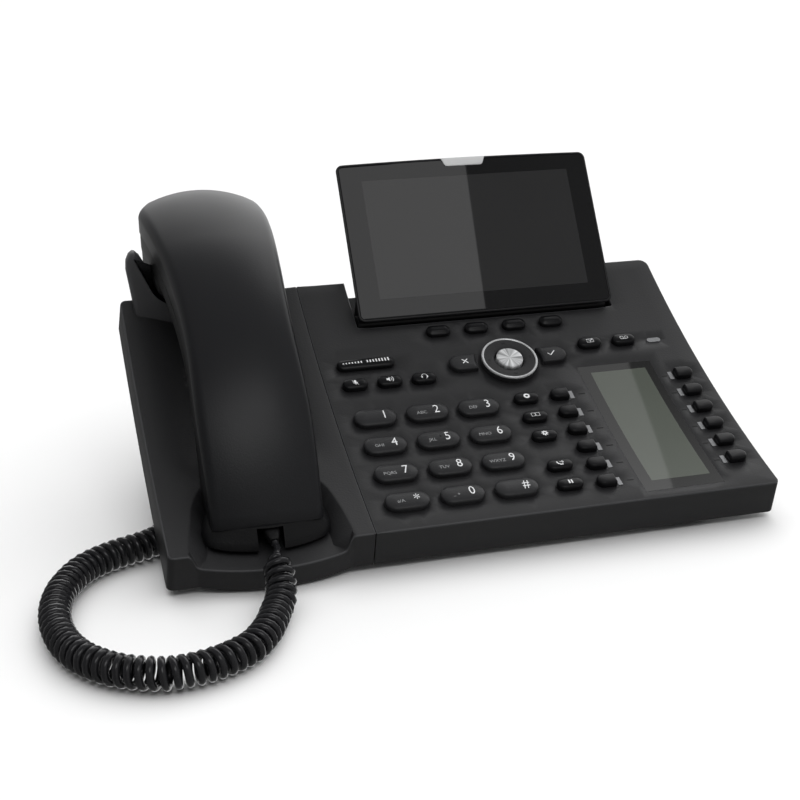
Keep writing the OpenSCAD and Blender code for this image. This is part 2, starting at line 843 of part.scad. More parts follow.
stadium_key(soft_x + soft_pitch, soft_s, pill_l, pill_w);  // soft_key_2
stadium_key(soft_x + 2 * soft_pitch, soft_s, pill_l, pill_w);  // soft_key_3
stadium_key(soft_x + 3 * soft_pitch, soft_s, pill_l, pill_w);  // soft_key_4
line_key(line_left_x, line_left_s + line_s(1), 1);  // line_key_left_1
line_key(line_left_x, line_left_s + line_s(2), 1);  // line_key_left_2
line_key(line_left_x, line_left_s + line_s(3), 1);  // line_key_left_3
line_key(line_left_x, line_left_s + line_s(4), 1);  // line_key_left_4
line_key(line_left_x, line_left_s + line_s(5), 1);  // line_key_left_5
line_key(line_left_x, line_left_s + line_s(6), 1);  // line_key_left_6
line_key(line_right_x, line_right_s + line_s(1), -1);  // line_key_right_1
line_key(line_right_x, line_right_s + line_s(2), -1);  // line_key_right_2
line_key(line_right_x, line_right_s + line_s(3), -1);  // line_key_right_3
line_key(line_right_x, line_right_s + line_s(4), -1);  // line_key_right_4
line_key(line_right_x, line_right_s + line_s(5), -1);  // line_key_right_5
line_key(line_right_x, line_right_s + line_s(6), -1);  // line_key_right_6
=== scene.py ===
import json
import math

import bpy
from mathutils import Matrix, Vector, geometry


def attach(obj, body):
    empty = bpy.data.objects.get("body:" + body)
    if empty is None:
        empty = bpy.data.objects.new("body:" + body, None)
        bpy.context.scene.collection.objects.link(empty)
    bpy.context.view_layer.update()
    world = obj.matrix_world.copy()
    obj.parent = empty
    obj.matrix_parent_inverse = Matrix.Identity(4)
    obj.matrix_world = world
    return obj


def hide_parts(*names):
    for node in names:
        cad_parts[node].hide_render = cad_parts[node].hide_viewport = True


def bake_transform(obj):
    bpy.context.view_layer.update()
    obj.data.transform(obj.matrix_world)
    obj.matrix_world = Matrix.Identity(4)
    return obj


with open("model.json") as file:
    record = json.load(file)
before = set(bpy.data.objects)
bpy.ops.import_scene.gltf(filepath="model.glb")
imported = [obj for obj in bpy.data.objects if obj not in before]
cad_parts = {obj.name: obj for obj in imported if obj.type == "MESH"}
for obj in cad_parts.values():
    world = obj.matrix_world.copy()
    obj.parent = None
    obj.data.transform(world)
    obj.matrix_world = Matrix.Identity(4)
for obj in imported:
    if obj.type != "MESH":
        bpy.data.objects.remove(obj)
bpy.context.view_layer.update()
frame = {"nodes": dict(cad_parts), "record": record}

MM = 0.001

# ---------- camera ----------
FOCAL_MM = 63.70
CAM_AT = Vector((-164.5, -522.8, 243.4)) * MM
CAM_RIGHT = Vector((0.96062, -0.27787, 0.0))
CAM_FORWARD = Vector((0.25983, 0.89823, -0.35450))


def make_camera():
    data = bpy.data.cameras.new("camera")
    data.lens = FOCAL_MM
    data.sensor_width = 36.0
    data.clip_start = 0.01
    data.clip_end = 30.0
    cam = bpy.data.objects.new("camera", data)
    right = CAM_RIGHT.normalized()
    back = -CAM_FORWARD.normalized()
    up = back.cross(right).normalized()
    m = Matrix((right, up, back)).transposed().to_4x4()
    m.translation = CAM_AT
    cam.matrix_world = m
    bpy.context.scene.collection.objects.link(cam)
    bpy.context.scene.camera = cam


make_camera()

# ---------- the face's frame, as in the CAD ----------
FACE_R = 500.0
FACE_LEN = 142.2
FRONT_TILT = math.radians(15.3)
FRONT_Y = -77.3
FRONT_Z = 16.9
ARC_Y = FRONT_Y - FACE_R * math.sin(FRONT_TILT)
ARC_Z = FRONT_Z + FACE_R * math.cos(FRONT_TILT)
HALF_W = 119.5
SEAM_X = -44.4
SKIRT = 14.9


def tilt(s):
    return FRONT_TILT + s / FACE_R


def on(x, s, h=0.0):
    """Point h mm above the face at x and arc length s."""
    t = tilt(s)
    r = FACE_R - h
    return Vector((x, ARC_Y + r * math.sin(t), ARC_Z - r * math.cos(t))) * MM


def face_frame(x, s):
    """Matrix from a local frame in mm (z out of the face) to the row frame."""
    m = Matrix.Rotation(tilt(s), 4, "X")
    m.translation = on(x, s)
    return m @ Matrix.Scale(MM, 4)


def lerp(a, b, t):
    return a + (b - a) * t


def smooth(t):
    t = min(max(t, 0.0), 1.0)
    return t * t * (3 - 2 * t)


def turns(n):
    """The n angles of a full turn."""
    return [2 * math.pi * k / n for k in range(n)]


# ---------- objects ----------
def add(name, verts, faces, material, body, shade_smooth=True, slots=None, face_slots=None):
    mesh = bpy.data.meshes.new(name)
    mesh.from_pydata([tuple(v) for v in verts], [], [tuple(f) for f in faces])
    mesh.validate()
    mesh.update()
    for m in (slots or [material]):
        mesh.materials.append(m)
    if face_slots:
        for p, k in zip(mesh.polygons, face_slots):
            p.material_index = k
    for p in mesh.polygons:
        p.use_smooth = shade_smooth
    obj = bpy.data.objects.new(name, mesh)
    bpy.context.scene.collection.objects.link(obj)
    if body:
        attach(obj, body)
    return obj


def modifier(obj, kind, name, **settings):
    m = obj.modifiers.new(name, kind)
    for k, v in settings.items():
        setattr(m, k, v)
    return m


def sharpen(obj, degrees=35.0):
    obj.data.set_sharp_from_angle(angle=math.radians(degrees))


def loft(rings, closed_ends=True, base=0):
    """Quads between rings with the same number of points."""
    n = len(rings[0])
    faces = []
    for i in range(len(rings) - 1):
        for k in range(n):
            m = (k + 1) % n
            faces.append((base + i * n + k, base + i * n + m,
                          base + (i + 1) * n + m, base + (i + 1) * n + k))
    if closed_ends:
        faces.append(tuple(base + k for k in range(n))[::-1])
        faces.append(tuple(base + (len(rings) - 1) * n + k for k in range(n)))
    return faces


def solid(name, rings, material, body, node=None, sharp=None, flip=False, flat=False):
    """Lofted solid through the rings; it may replace a CAD node and take a material slot."""
    faces = [f[::-1] for f in loft(rings)] if flip else loft(rings)
    obj = add(name, [v for ring in rings for v in ring], faces, material, body, not flat)
    if sharp:
        sharpen(obj, sharp)
    if node:
        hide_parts(node)
    return obj


def placed(m, rings):
    """Rings of local points, moved by the matrix m."""
    return [[m @ Vector(p) for p in ring] for ring in rings]


# ---------- cord ----------
WIRE_D = 2.75
COIL_D = 11.4
COIL_PITCH = 3.45
COIL_ROUTE = [
    (-82.6, -83.5, 15.8), (-82.7, -90, 11.6), (-83.8, -96.5, 7.4), (-87, -103.5, 5.8),
    (-92, -114.5, 5.8), (-98.5, -123.5, 5.8), (-106, -128.5, 5.8), (-113.5, -131.5, 5.8),
    (-121.5, -133, 5.8), (-130, -132.5, 5.8), (-141, -127.5, 5.8), (-148, -121.5, 5.8),
    (-153, -115, 5.8), (-157, -106, 5.8), (-159, -96.5, 5.8), (-159.5, -87, 5.8),
    (-158.5, -77.5, 5.8), (-156, -68.5, 5.8), (-151.5, -59.5, 5.8), (-146, -52.5, 5.8),
    (-139, -47.5, 5.8), (-132, -44, 5.8), (-125.5, -41.5, 5.8), (-119.5, -38, 5.8),
    (-114.5, -32.5, 5.8), (-112, -25, 5.8), (-111.5, -16, 5.8),
]
PLUG_TAIL = [(-81.2, -74, 16.84), (-81.1, -76, 16.3), (-81.4, -79.5, 16.2)]
BASE_TAIL = [(-111.5, -11, 7), (-112, -6, 11), (-112.5, -2, 16.5),
             (-111.5, 2, 21.5), (-109, 4.5, 24.6), (-105.22, 5, 25)]


def catmull(points, step):
    """Points every step mm along a smooth curve through the given ones."""
    pts = [Vector(p) for p in points]
    pts = [2 * pts[0] - pts[1]] + pts + [2 * pts[-1] - pts[-2]]
    fine = []
    for i in range(1, len(pts) - 2):
        a, b, c, d = pts[i - 1:i + 3]
        for k in range(40):
            t = k / 40
            fine.append(0.5 * (2 * b + (c - a) * t + (2 * a - 5 * b + 4 * c - d) * t * t
                               + (3 * b - a - 3 * c + d) * t ** 3))
    fine.append(pts[-2])
    out, run, at = [fine[0]], 0.0, step
    for p, q in zip(fine, fine[1:]):
        seg = (q - p).length
        while run + seg >= at and seg > 0:
            out.append(p.lerp(q, (at - run) / seg))
            at += step
        run += seg
    out.append(fine[-1])
    return out


def frames_along(points):
    """Tangent and two normals at each point, carried along with no twist."""
    n = len(points)
    tangents = [(points[min(i + 1, n - 1)] - points[max(i - 1, 0)]).normalized() for i in range(n)]
    side = tangents[0].cross(Vector((0, 0, 1))).normalized()
    out = []
    for t in tangents:
        side = (side - t * side.dot(t)).normalized()
        out.append((t, side, t.cross(side)))
    return out


def tube(name, path, d, sides, material, body):
    """Round tube of diameter d along the points of path."""
    rings = [[(p + (a * math.cos(w) + b * math.sin(w)) * d / 2) * MM for w in turns(sides)]
             for p, (_, a, b) in zip(path, frames_along(path))]
    return solid(name, rings, material, body)


AXIS_STEP = 0.25
COIL_EARLY, COIL_GROW = 2.0, 7.0      # the coil opens out over this much of the axis


def path_length(path):
    points = [Vector(p) for p in path]
    return sum((q - p).length for p, q in zip(points, points[1:]))


def cord_path():
    """Centre line of the wire: straight tail, the wound coil, straight tail."""
    axis = catmull(PLUG_TAIL + COIL_ROUTE + BASE_TAIL, AXIS_STEP)
    lead = path_length(PLUG_TAIL) + path_length([PLUG_TAIL[-1], COIL_ROUTE[0]])
    tail = path_length([COIL_ROUTE[-1]] + BASE_TAIL)
    total = AXIS_STEP * (len(axis) - 1)
    radius = (COIL_D - WIRE_D) / 2
    path, turn = [], 0.0
    for i, (p, (_, a, b)) in enumerate(zip(axis, frames_along(axis))):
        run = i * AXIS_STEP
        grow = (smooth((run - lead + COIL_EARLY) / COIL_GROW)
                * smooth((total - tail + COIL_EARLY - run) / COIL_GROW))
        if grow > 0:
            turn += 2 * math.pi * AXIS_STEP / COIL_PITCH
        path.append(p + (a * math.cos(turn) + b * math.sin(turn)) * radius * grow)
    return path


# ---------- materials ----------
def shader_node(nt, kind, inputs, **settings):
    """New node; an input is a value, or another node's output to link."""
    node = nt.nodes.new(kind)
    for key, value in settings.items():
        setattr(node, key, value)
    for key, value in inputs.items():
        if isinstance(value, bpy.types.NodeSocket):
            nt.links.new(value, node.inputs[key])
        else:
            node.inputs[key].default_value = value
    return node


def two_tone(nt, factor, bsdf, low, high, color_low, color_high):
    """Colour that goes from one tone to another as factor rises from low to high."""
    ramp = shader_node(nt, "ShaderNodeValToRGB", {"Fac": factor})
    for element, position, color in zip(ramp.color_ramp.elements, (low, high), (color_low, color_high)):
        element.position = position
        element.color = (*color, 1)
    nt.links.new(ramp.outputs["Color"], bsdf.inputs["Base Color"])


NOISE_LOW, NOISE_HIGH = 0.3, 0.7      # the span that a noise's values mostly cover


def new_material(name, color, rough, metallic=0.0, coat=0.0, coat_rough=0.1, bump=0.0,
                 scale=900.0, rough_var=0.0, color_var=0.0, spec=0.5):
    """Moulded plastic or metal: fine grain bump, small changes of colour and roughness."""
    mat = bpy.data.materials.new(name)
    mat.use_nodes = True
    nt = mat.node_tree
    bsdf = nt.nodes["Principled BSDF"]
    for key, value in (("Base Color", (*color, 1)), ("Roughness", rough), ("Metallic", metallic),
                       ("Coat Weight", coat), ("Coat Roughness", coat_rough),
                       ("Specular IOR Level", spec)):
        bsdf.inputs[key].default_value = value
    place = nt.nodes.new("ShaderNodeTexCoord").outputs["Object"]
    if bump:
        fine = shader_node(nt, "ShaderNodeTexNoise", {"Scale": scale, "Detail": 3.0, "Vector": place})
        grain = shader_node(nt, "ShaderNodeBump", {"Strength": bump, "Distance": 0.0004,
                                                   "Height": fine.outputs["Fac"]})
        nt.links.new(grain.outputs["Normal"], bsdf.inputs["Normal"])
    if rough_var or color_var:
        broad = shader_node(nt, "ShaderNodeTexNoise", {"Scale": 22.0, "Detail": 5.0, "Vector": place})
        factor = broad.outputs["Fac"]
        if rough_var:
            span = shader_node(nt, "ShaderNodeMapRange", {
                "From Min": NOISE_LOW, "From Max": NOISE_HIGH, "To Min": rough - rough_var,
                "To Max": rough + rough_var, "Value": factor})
            nt.links.new(span.outputs["Result"], bsdf.inputs["Roughness"])
        if color_var:
            two_tone(nt, factor, bsdf, NOISE_LOW, NOISE_HIGH, [c * (1 - color_var) for c in color],
                     [c * (1 + color_var) for c in color])
    return mat


MAT = {
    "body_plastic": new_material("body_plastic", (0.016, 0.0161, 0.0172), 0.5, bump=0.18,
                                 scale=1400, rough_var=0.04, color_var=0.05, spec=0.75),
    # Lighter copy of the body plastic, used as painted light: a painted highlight on the rounded edges of
    # the covers, and painted light on the ear horn.
    "body_painted_light": new_material("body_painted_light", (0.05, 0.0503, 0.053), 0.4, bump=0.1, scale=1500,
                              color_var=0.05),
    "handset_plastic": new_material("handset_plastic", (0.009, 0.0092, 0.0105), 0.33, bump=0.1,
                                    scale=1500, rough_var=0.03, color_var=0.05),
    "inner_shell_plastic": new_material("inner_shell_plastic", (0.0035, 0.0036, 0.0042), 0.42,
                                        bump=0.15, scale=1400, color_var=0.05),
    "inner_plastic": new_material("inner_plastic", (0.005, 0.005, 0.0055), 0.45, bump=0.1,
                                  color_var=0.1),
    "key_plastic": new_material("key_plastic", (0.005, 0.005, 0.0058), 0.28, bump=0.04,
                                coat=0.1, coat_rough=0.15, color_var=0.1, spec=0.32),
    "lens_plastic": new_material("lens_plastic", (0.2, 0.203, 0.21), 0.25, coat=0.3,
                                 color_var=0.04),
    "screen_glass": new_material("screen_glass", (0.02, 0.021, 0.024), 0.08, coat=0.5,
                                 coat_rough=0.03, color_var=0.05),
    "ring_metal": new_material("ring_metal", (0.05, 0.05, 0.053), 0.35, metallic=0.3,
                               color_var=0.05),
    "button_metal": new_material("button_metal", (0.62, 0.63, 0.65), 0.3, metallic=1.0,
                                 bump=0.05, color_var=0.03),
    "foot_rubber": new_material("foot_rubber", (0.01, 0.01, 0.01), 0.8, bump=0.4, scale=700,
                                color_var=0.1),
    "screw_steel": new_material("screw_steel", (0.35, 0.35, 0.36), 0.35, metallic=1.0,
                                bump=0.05, color_var=0.05),
    "board": new_material("board", (0.02, 0.09, 0.04), 0.4, bump=0.1, color_var=0.15),
    "cord_jacket": new_material("cord_jacket", (0.011, 0.011, 0.0125), 0.2, coat=0.5,
                                coat_rough=0.2, bump=0.03, color_var=0.1),
}
for part in frame["record"]["subparts"]:
    node = frame["nodes"][part["node"]]
    node.data.materials.clear()
    node.data.materials.append(MAT[part["material_slot"]])

MAT.update({
    "dial_top": new_material("dial_top", (0.017, 0.0172, 0.0185), 0.36, bump=0.22, scale=1500,
                             color_var=0.08, coat=0.1, coat_rough=0.3),
    "print_white": new_material("print_white", (0.75, 0.76, 0.77), 0.5, color_var=0.03),
    "print_grey": new_material("print_grey", (0.3, 0.305, 0.31), 0.5, color_var=0.03),
    "ring_dark": new_material("ring_dark", (0.018, 0.018, 0.019), 0.4, bump=0.3, scale=1500, color_var=0.1),
    "chrome_rim": new_material("chrome_rim", (0.82, 0.83, 0.84), 0.22, metallic=0.6, color_var=0.02),
    "arrow_dark": new_material("arrow_dark", (0.0022, 0.0022, 0.0024), 0.5, color_var=0.1),
    "display_plastic": new_material("display_plastic", (0.008, 0.008, 0.009), 0.35, bump=0.1, scale=1400,
                                    color_var=0.06),
    "glass_border": new_material("glass_border", (0.007, 0.007, 0.0075), 0.015, color_var=0.04),
    "glass_panel": new_material("glass_panel", (0.026, 0.026, 0.0265), 0.015, color_var=0.03),
    "alert_silver": new_material("alert_silver", (0.7, 0.705, 0.71), 0.28, coat=0.4, color_var=0.03),
    "label_glass": new_material("label_glass", (0.012, 0.0122, 0.012), 0.03, color_var=0.04),
    "port_gold": new_material("port_gold", (0.6, 0.42, 0.16), 0.3, metallic=1.0, color_var=0.08),
    "label_lcd": new_material("label_lcd", (0.075, 0.084, 0.07), 0.03, color_var=0.04),
})


def brushed_radial():
    """Turned aluminium: soft rays of shade round the button's axis."""
    mat = new_material("button_brushed", (0.72, 0.73, 0.75), 0.34, metallic=0.45)
    nt = mat.node_tree
    coords = nt.nodes.new("ShaderNodeTexCoord")
    place = shader_node(nt, "ShaderNodeMapping", {"Vector": coords.outputs["Object"]},
                        vector_type="TEXTURE")
    place.inputs["Location"].default_value = on(NAV_X, NAV_S)
    place.inputs["Rotation"].default_value = (tilt(NAV_S), 0, 0)
    split = shader_node(nt, "ShaderNodeSeparateXYZ", {"Vector": place.outputs["Vector"]})
    angle = shader_node(nt, "ShaderNodeMath", {0: split.outputs["Y"], 1: split.outputs["X"]},
                        operation="ARCTAN2")
    rays = shader_node(nt, "ShaderNodeTexNoise", {}, noise_dimensions="1D")
    for key, value in (("Scale", 2.2), ("Detail", 3.0)):
        rays.inputs[key].default_value = value
    nt.links.new(angle.outputs["Value"], rays.inputs["W"])
    two_tone(nt, rays.outputs["Fac"], nt.nodes["Principled BSDF"], 0.36, 0.62,
             (0.3, 0.305, 0.31), (0.86, 0.87, 0.88))
    return mat


# ---------- outlines ----------
def arc_points(cx, cy, r, a0, a1, n):
    return [(cx + r * math.cos(math.radians(lerp(a0, a1, k / n))),
             cy + r * math.sin(math.radians(lerp(a0, a1, k / n)))) for k in range(n + 1)]


def inward_normals(loop):
    """Inward normal at each point of a counter-clockwise loop, scaled for mitred corners."""
    out, n = [], len(loop)
    for i in range(n):
        p, q, r = loop[i - 1], loop[i], loop[(i + 1) % n]
        a = Vector((q[0] - p[0], q[1] - p[1])).normalized()
        b = Vector((r[0] - q[0], r[1] - q[1])).normalized()
        na, nb = Vector((-a.y, a.x)), Vector((-b.y, b.x))
        m = na + nb
        m = m.normalized() if m.length > 1e-6 else na
        out.append(m / max(m.dot(na), 0.5))
    return out


def offset(loop, amount):
    """Loop moved inwards by amount, a number or a function of the point's index."""
    f = amount if callable(amount) else (lambda i: amount)
    return [(p[0] + m.x * f(i), p[1] + m.y * f(i))
            for i, (p, m) in enumerate(zip(loop, inward_normals(loop)))]


def rounded_loop(corners, n=6):
    """Loop with rounded corners, from (x, y, radius) given counter-clockwise."""
    out, count = [], len(corners)
    for i in range(count):
        p, q, r = (Vector(corners[j % count][:2]) for j in (i - 1, i, i + 1))
        rad = corners[i][2]
        if rad <= 0:
            out.append(tuple(q))
            continue
        a, b = (p - q).normalized(), (r - q).normalized()
        half = math.acos(max(-1, min(1, a.dot(b)))) / 2
        reach = rad / math.tan(half)
        centre = q + (a + b).normalized() * (rad / math.sin(half))
        start, end = q + a * reach - centre, q + b * reach - centre
        a0 = math.atan2(start.y, start.x)
        turn = math.atan2(end.y, end.x) - a0
        while turn > math.pi:
            turn -= 2 * math.pi
        while turn < -math.pi:
            turn += 2 * math.pi
        for k in range(n + 1):
            w = a0 + turn * k / n
            out.append((centre.x + rad * math.cos(w), centre.y + rad * math.sin(w)))
    return out


def dense(loop, step):
    """Loop with long edges split, so that it can follow a curved surface."""
    out = []
    for i, p in enumerate(loop):
        q = loop[(i + 1) % len(loop)]
        k = max(1, int(math.hypot(q[0] - p[0], q[1] - p[1]) / step))
        out += [(lerp(p[0], q[0], j / k), lerp(p[1], q[1], j / k)) for j in range(k)]
    return out


def stadium_loop(l, w, cx=0.0, cy=0.0, n=10):
    c = (l - w) / 2
    return arc_points(cx + c, cy, w / 2, -90, 90, n) + arc_points(cx - c, cy, w / 2, 90, 270, n)


def line_loop(l, w, side, cx=0.0, cy=0.0):
    """Line key: flat on side +1 or -1 with small corner radii, round on the other."""
    flat = rounded_loop([(l / 2, -w / 2, 1.0), (l / 2, w / 2, 1.0), (-l / 2 + w / 2, w / 2, 0),
                         (-l / 2 + w / 2, -w / 2, 0)], 3)[:8]
    loop = flat + arc_points(-l / 2 + w / 2, 0, w / 2, 90, 270, 12)
    if side < 0:
        loop = [(-x, y) for x, y in reversed(loop)]
    return [(x + cx, y + cy) for x, y in loop]


NAV_X, NAV_S, NAV_R, NAV_BUTTON_R = 35.4, 87.0, 12.0, 5.7
WING_X, WING_Y = 19.2, 1.3


def wing_loop(side, grow=0.0):
    """Cancel or confirm key about the ring's centre: round outside, hollow to the ring."""
    w, hollow = 8.6 + 2 * grow, NAV_R + 2.6 - grow
    top, low = WING_Y + w / 2, WING_Y - w / 2
    c = WING_X + (13.5 - 8.6) / 2
    a_top = math.degrees(math.asin(top / hollow))
    a_low = math.degrees(math.asin(low / hollow))
    loop = arc_points(c, WING_Y, w / 2, -90, 90, 14)
    loop += arc_points(0, 0, hollow, a_top, a_low, 10)
    if side < 0:
        loop = [(-x, y) for x, y in reversed(loop)]
    return loop


# ---------- keys ----------
def edge_distance(loop, x, y):
    best = 1e9
    for i, p in enumerate(loop):
        q = loop[(i + 1) % len(loop)]
        dx, dy = q[0] - p[0], q[1] - p[1]
        k = max(0.0, min(1.0, ((x - p[0]) * dx + (y - p[1]) * dy) / (dx * dx + dy * dy + 1e-12)))
        best = min(best, math.hypot(x - p[0] - k * dx, y - p[1] - k * dy))
    return best


def profile_height(profile, t):
    for (t0, z0), (t1, z1) in zip(profile, profile[1:]):
        if t <= t1:
            return lerp(z0, z1, (t - t0) / max(t1 - t0, 1e-6)) if t > t0 else z0
    return profile[-1][1]


DIAL_CAP = [(0, 1.25), (0.1, 1.62), (0.32, 1.92), (0.7, 2.14), (1.2, 2.29), (2.0, 2.45),
            (3.0, 2.57), (3.9, 2.62), (4.5, 2.63)]
PILL_CAP = [(0, 1.2), (0.08, 1.6), (0.28, 1.95), (0.6, 2.2), (1.1, 2.36), (1.8, 2.46), (2.6, 2.5)]
SOFT_CAP = [(0, 1.1), (0.1, 1.5), (0.4, 1.75), (0.9, 1.9), (1.3, 2.2), (1.7, 2.42), (2.2, 2.5),
            (2.6, 2.5)]
WING_CAP = [(0, 1.4), (0.1, 1.75), (0.35, 2.05), (0.8, 2.25), (1.4, 2.34)]
LINE_CAP = [(0, 1.1), (0.05, 1.6), (0.16, 2.0), (0.34, 2.28), (0.58, 2.44), (0.8, 2.5)]
ROCKER_CAP = [(0, 0.9), (0.08, 1.3), (0.3, 1.6), (0.7, 1.85), (1.3, 2.05), (2.0, 2.18), (2.6, 2.2)]


def make_key(node, loop_at, cap, x, s, side_mat="key_plastic", low=-3.4, foot=0.7):
    """Key cap built in rings, with its retaining flange below the cover.
    loop_at(t) gives the outline moved inwards by t."""
    rings = [[(px, py, low) for px, py in loop_at(-foot)],
             [(px, py, low + 0.8) for px, py in loop_at(-foot)],
             [(px, py, low + 0.8) for px, py in loop_at(0)]]
    for t, z in cap:
        rings.append([(px, py, z) for px, py in loop_at(t)])
    solid(node + "_cap", placed(face_frame(x, s), rings), MAT[side_mat], node, node=node,
          sharp=50)


def stadium_at(l, w):
    return lambda t: stadium_loop(max(l - 2 * t, l - w + 0.02), max(w - 2 * t, 0.02))


def text_shape(string, size, narrow=0.85):
    """Flat letters as (points, faces), centred left to right with the baseline at 0."""
    data = bpy.data.curves.new("letters", "FONT")
    data.body = string
    data.size = size
    data.align_x = "CENTER"
    data.resolution_u = 3
    obj = bpy.data.objects.new("letters", data)
    bpy.context.scene.collection.objects.link(obj)
    mesh = obj.to_mesh()
    points = [(v.co.x * narrow, v.co.y) for v in mesh.vertices]
    faces = [tuple(p.vertices) for p in mesh.polygons]
    obj.to_mesh_clear()
    bpy.data.objects.remove(obj)
    bpy.data.curves.remove(data)
    return points, faces


def moved(shape, dx, dy):
    return [(x + dx, y + dy) for x, y in shape[0]], shape[1]


def joined(*shapes):
    points, faces = [], []
    for p, f in shapes:
        base = len(points)
        points += p
        faces += [tuple(i + base for i in face) for face in f]
    return points, faces


def stroke(points, width, closed=False):
    """Line of constant width as quads."""
    pts = list(points) + ([points[0]] if closed else [])
    out, faces = [], []
    n = len(pts)
    for i, p in enumerate(pts):
        a = pts[max(i - 1, 0)] if not (closed and i == 0) else pts[-2]
        b = pts[min(i + 1, n - 1)] if not (closed and i == n - 1) else pts[1]
        d = Vector((b[0] - a[0], b[1] - a[1])).normalized()
        out += [(p[0] - d.y * width / 2, p[1] + d.x * width / 2),
                (p[0] + d.y * width / 2, p[1] - d.x * width / 2)]
    for i in range(n - 1):
        faces.append((2 * i + 1, 2 * i + 3, 2 * i + 2, 2 * i))
    return out, faces


def filled(points):
    return list(points), [tuple(range(len(points)))]


def split_faces(shape, longest):
    """Shape with its faces cut into triangles no longer than the given size."""
    points, faces = list(shape[0]), []
    stack = []
    for f in shape[1]:
        if len(f) == 3:
            stack.append(f)
        else:
            tri = geometry.tessellate_polygon([[Vector((*points[i], 0)) for i in f]])
            stack += [tuple(f[k] for k in t) for t in tri]
    middle = {}
    while stack:
        a, b, c = stack.pop()
        sides = [(math.dist(points[i], points[j]), i, j, k)
                 for i, j, k in ((a, b, c), (b, c, a), (c, a, b))]
        length, i, j, k = max(sides)
        if length <= longest:
            faces.append((a, b, c))
            continue
        key = (min(i, j), max(i, j))
        if key not in middle:
            middle[key] = len(points)
            points.append(((points[i][0] + points[j][0]) / 2, (points[i][1] + points[j][1]) / 2))
        stack += [(i, middle[key], k), (middle[key], j, k)]
    return points, faces


PRINT_GAP = 0.035


def lay_on_key(name, shape, node, height, x, s, material, gap=PRINT_GAP):
    """Printed sign laid on a key's domed top. height(px, py) is the cap's height there."""
    points, faces = split_faces(shape, 0.9)
    m = face_frame(x, s)
    verts = [m @ Vector((px, py, height(px, py) + gap)) for px, py in points]
    up = (m.to_3x3() @ Vector((0, 0, 1)))
    fixed = []
    for f in faces:
        n = (verts[f[1]] - verts[f[0]]).cross(verts[f[2]] - verts[f[0]])
        fixed.append(f if n.dot(up) > 0 else f[::-1])
    return add(name, verts, fixed, material, node, shade_smooth=False)


def cap_height(loop, cap):
    return lambda px, py: profile_height(cap, edge_distance(loop, px, py))


def print_key(node, shape, loop, cap, x, s):
    return lay_on_key(node + "_print", shape, node, cap_height(loop, cap), x, s, MAT["print_white"])


DIAL_X, DIAL_S, DIAL_PX, DIAL_PS, DIAL_L, DIAL_W = -29.0, 14.0, 21.6, 16.0, 17.5, 9.3
DIAL = [("key_star", "*", "a/A"), ("key_0", "0", "_ +"), ("key_hash", "#", ""),
        ("key_7", "7", "PQRS"), ("key_8", "8", "TUV"), ("key_9", "9", "WXYZ"),
        ("key_4", "4", "GHI"), ("key_5", "5", "JKL"), ("key_6", "6", "MNO"),
        ("key_1", "1", ""), ("key_2", "2", "ABC"), ("key_3", "3", "DEF")]


def make_dial_keys():
    loop = stadium_loop(DIAL_L, DIAL_W)
    for k, (node, digit, letters) in enumerate(DIAL):
        x, s = DIAL_X + (k % 3) * DIAL_PX, DIAL_S + (k // 3) * DIAL_PS
        make_key(node, stadium_at(DIAL_L, DIAL_W), DIAL_CAP, x, s, "dial_top")
        drop = -2.9 if digit == "*" else -1.75
        size = 7.0 if digit == "*" else 6.3
        print_key(node, moved(text_shape(digit, size, 0.8), 3.6, drop), loop, DIAL_CAP, x, s)
        if letters:
            lay_on_key(node + "_letters", moved(text_shape(letters, 2.2, 1.0), -2.7, -1.7), node,
                       cap_height(loop, DIAL_CAP), x, s, MAT["print_grey"])
    bump = [(0.42, 0.0), (0.36, 0.16), (0.2, 0.28), (0.02, 0.32)]
    m = face_frame(DIAL_X + DIAL_PX, DIAL_S + 2 * DIAL_PS)
    rings = [[(0.9 + r * math.cos(a), 0.6 + r * math.sin(a), 2.57 + z) for a in turns(16)]
             for r, z in bump]
    solid("key_5_bump", placed(m, rings), MAT["dial_top"], "key_5")


# ---------- icons, about 3 mm tall, drawn round (0, 0) ----------
def ring_line(cx, cy, r, a0, a1, width, n=14):
    return stroke(arc_points(cx, cy, r, a0, a1, n), width)


def disc(cx, cy, r, n=18):
    return filled(arc_points(cx, cy, r, 0, 360 - 360 / n, n - 1))


def box(x0, y0, x1, y1):
    return filled([(x0, y0), (x1, y0), (x1, y1), (x0, y1)])


def icon_mute():
    return joined(filled(stadium_turned(0, 0.45, 0.95, 1.9)),
                  ring_line(0, 0.3, 0.95, 190, 350, 0.22), stroke([(0, -0.65), (0, -1.3)], 0.24),
                  stroke([(-1.2, 1.3), (1.2, -1.3)], 0.2))


def stadium_turned(cx, cy, w, h):
    return [(cx - y, cy + x) for x, y in stadium_loop(h, w, n=6)]


def icon_speaker():
    return joined(filled([(-1.5, -0.5), (-0.9, -0.5), (-0.1, -1.2), (-0.1, 1.2), (-0.9, 0.5),
                          (-1.5, 0.5)]),
                  ring_line(-0.3, 0, 1.0, -50, 50, 0.24), ring_line(-0.3, 0, 1.7, -50, 50, 0.24))


def icon_headset():
    return joined(ring_line(0, -0.1, 1.15, -10, 190, 0.2), box(-1.4, -1.0, -0.85, 0.0),
                  box(0.85, -1.0, 1.4, 0.0), stroke([(1.15, -1.0), (0.4, -1.45)], 0.18))


def icon_cross():
    return joined(stroke([(-1.15, -1.15), (1.15, 1.15)], 0.42),
                  stroke([(-1.15, 1.15), (1.15, -1.15)], 0.42))


def icon_tick():
    return stroke([(-1.6, 0.1), (-0.5, -1.1), (1.7, 1.3)], 0.42)


def icon_message():
    return joined(stroke([(-1.5, -0.9), (1.5, -0.9), (1.5, 0.9), (-1.5, 0.9)], 0.2, True),
                  stroke([(-1.5, 0.9), (0, -0.1), (1.5, 0.9)], 0.18),
                  stroke([(-0.4, -1.25), (1.2, 1.25)], 0.16))


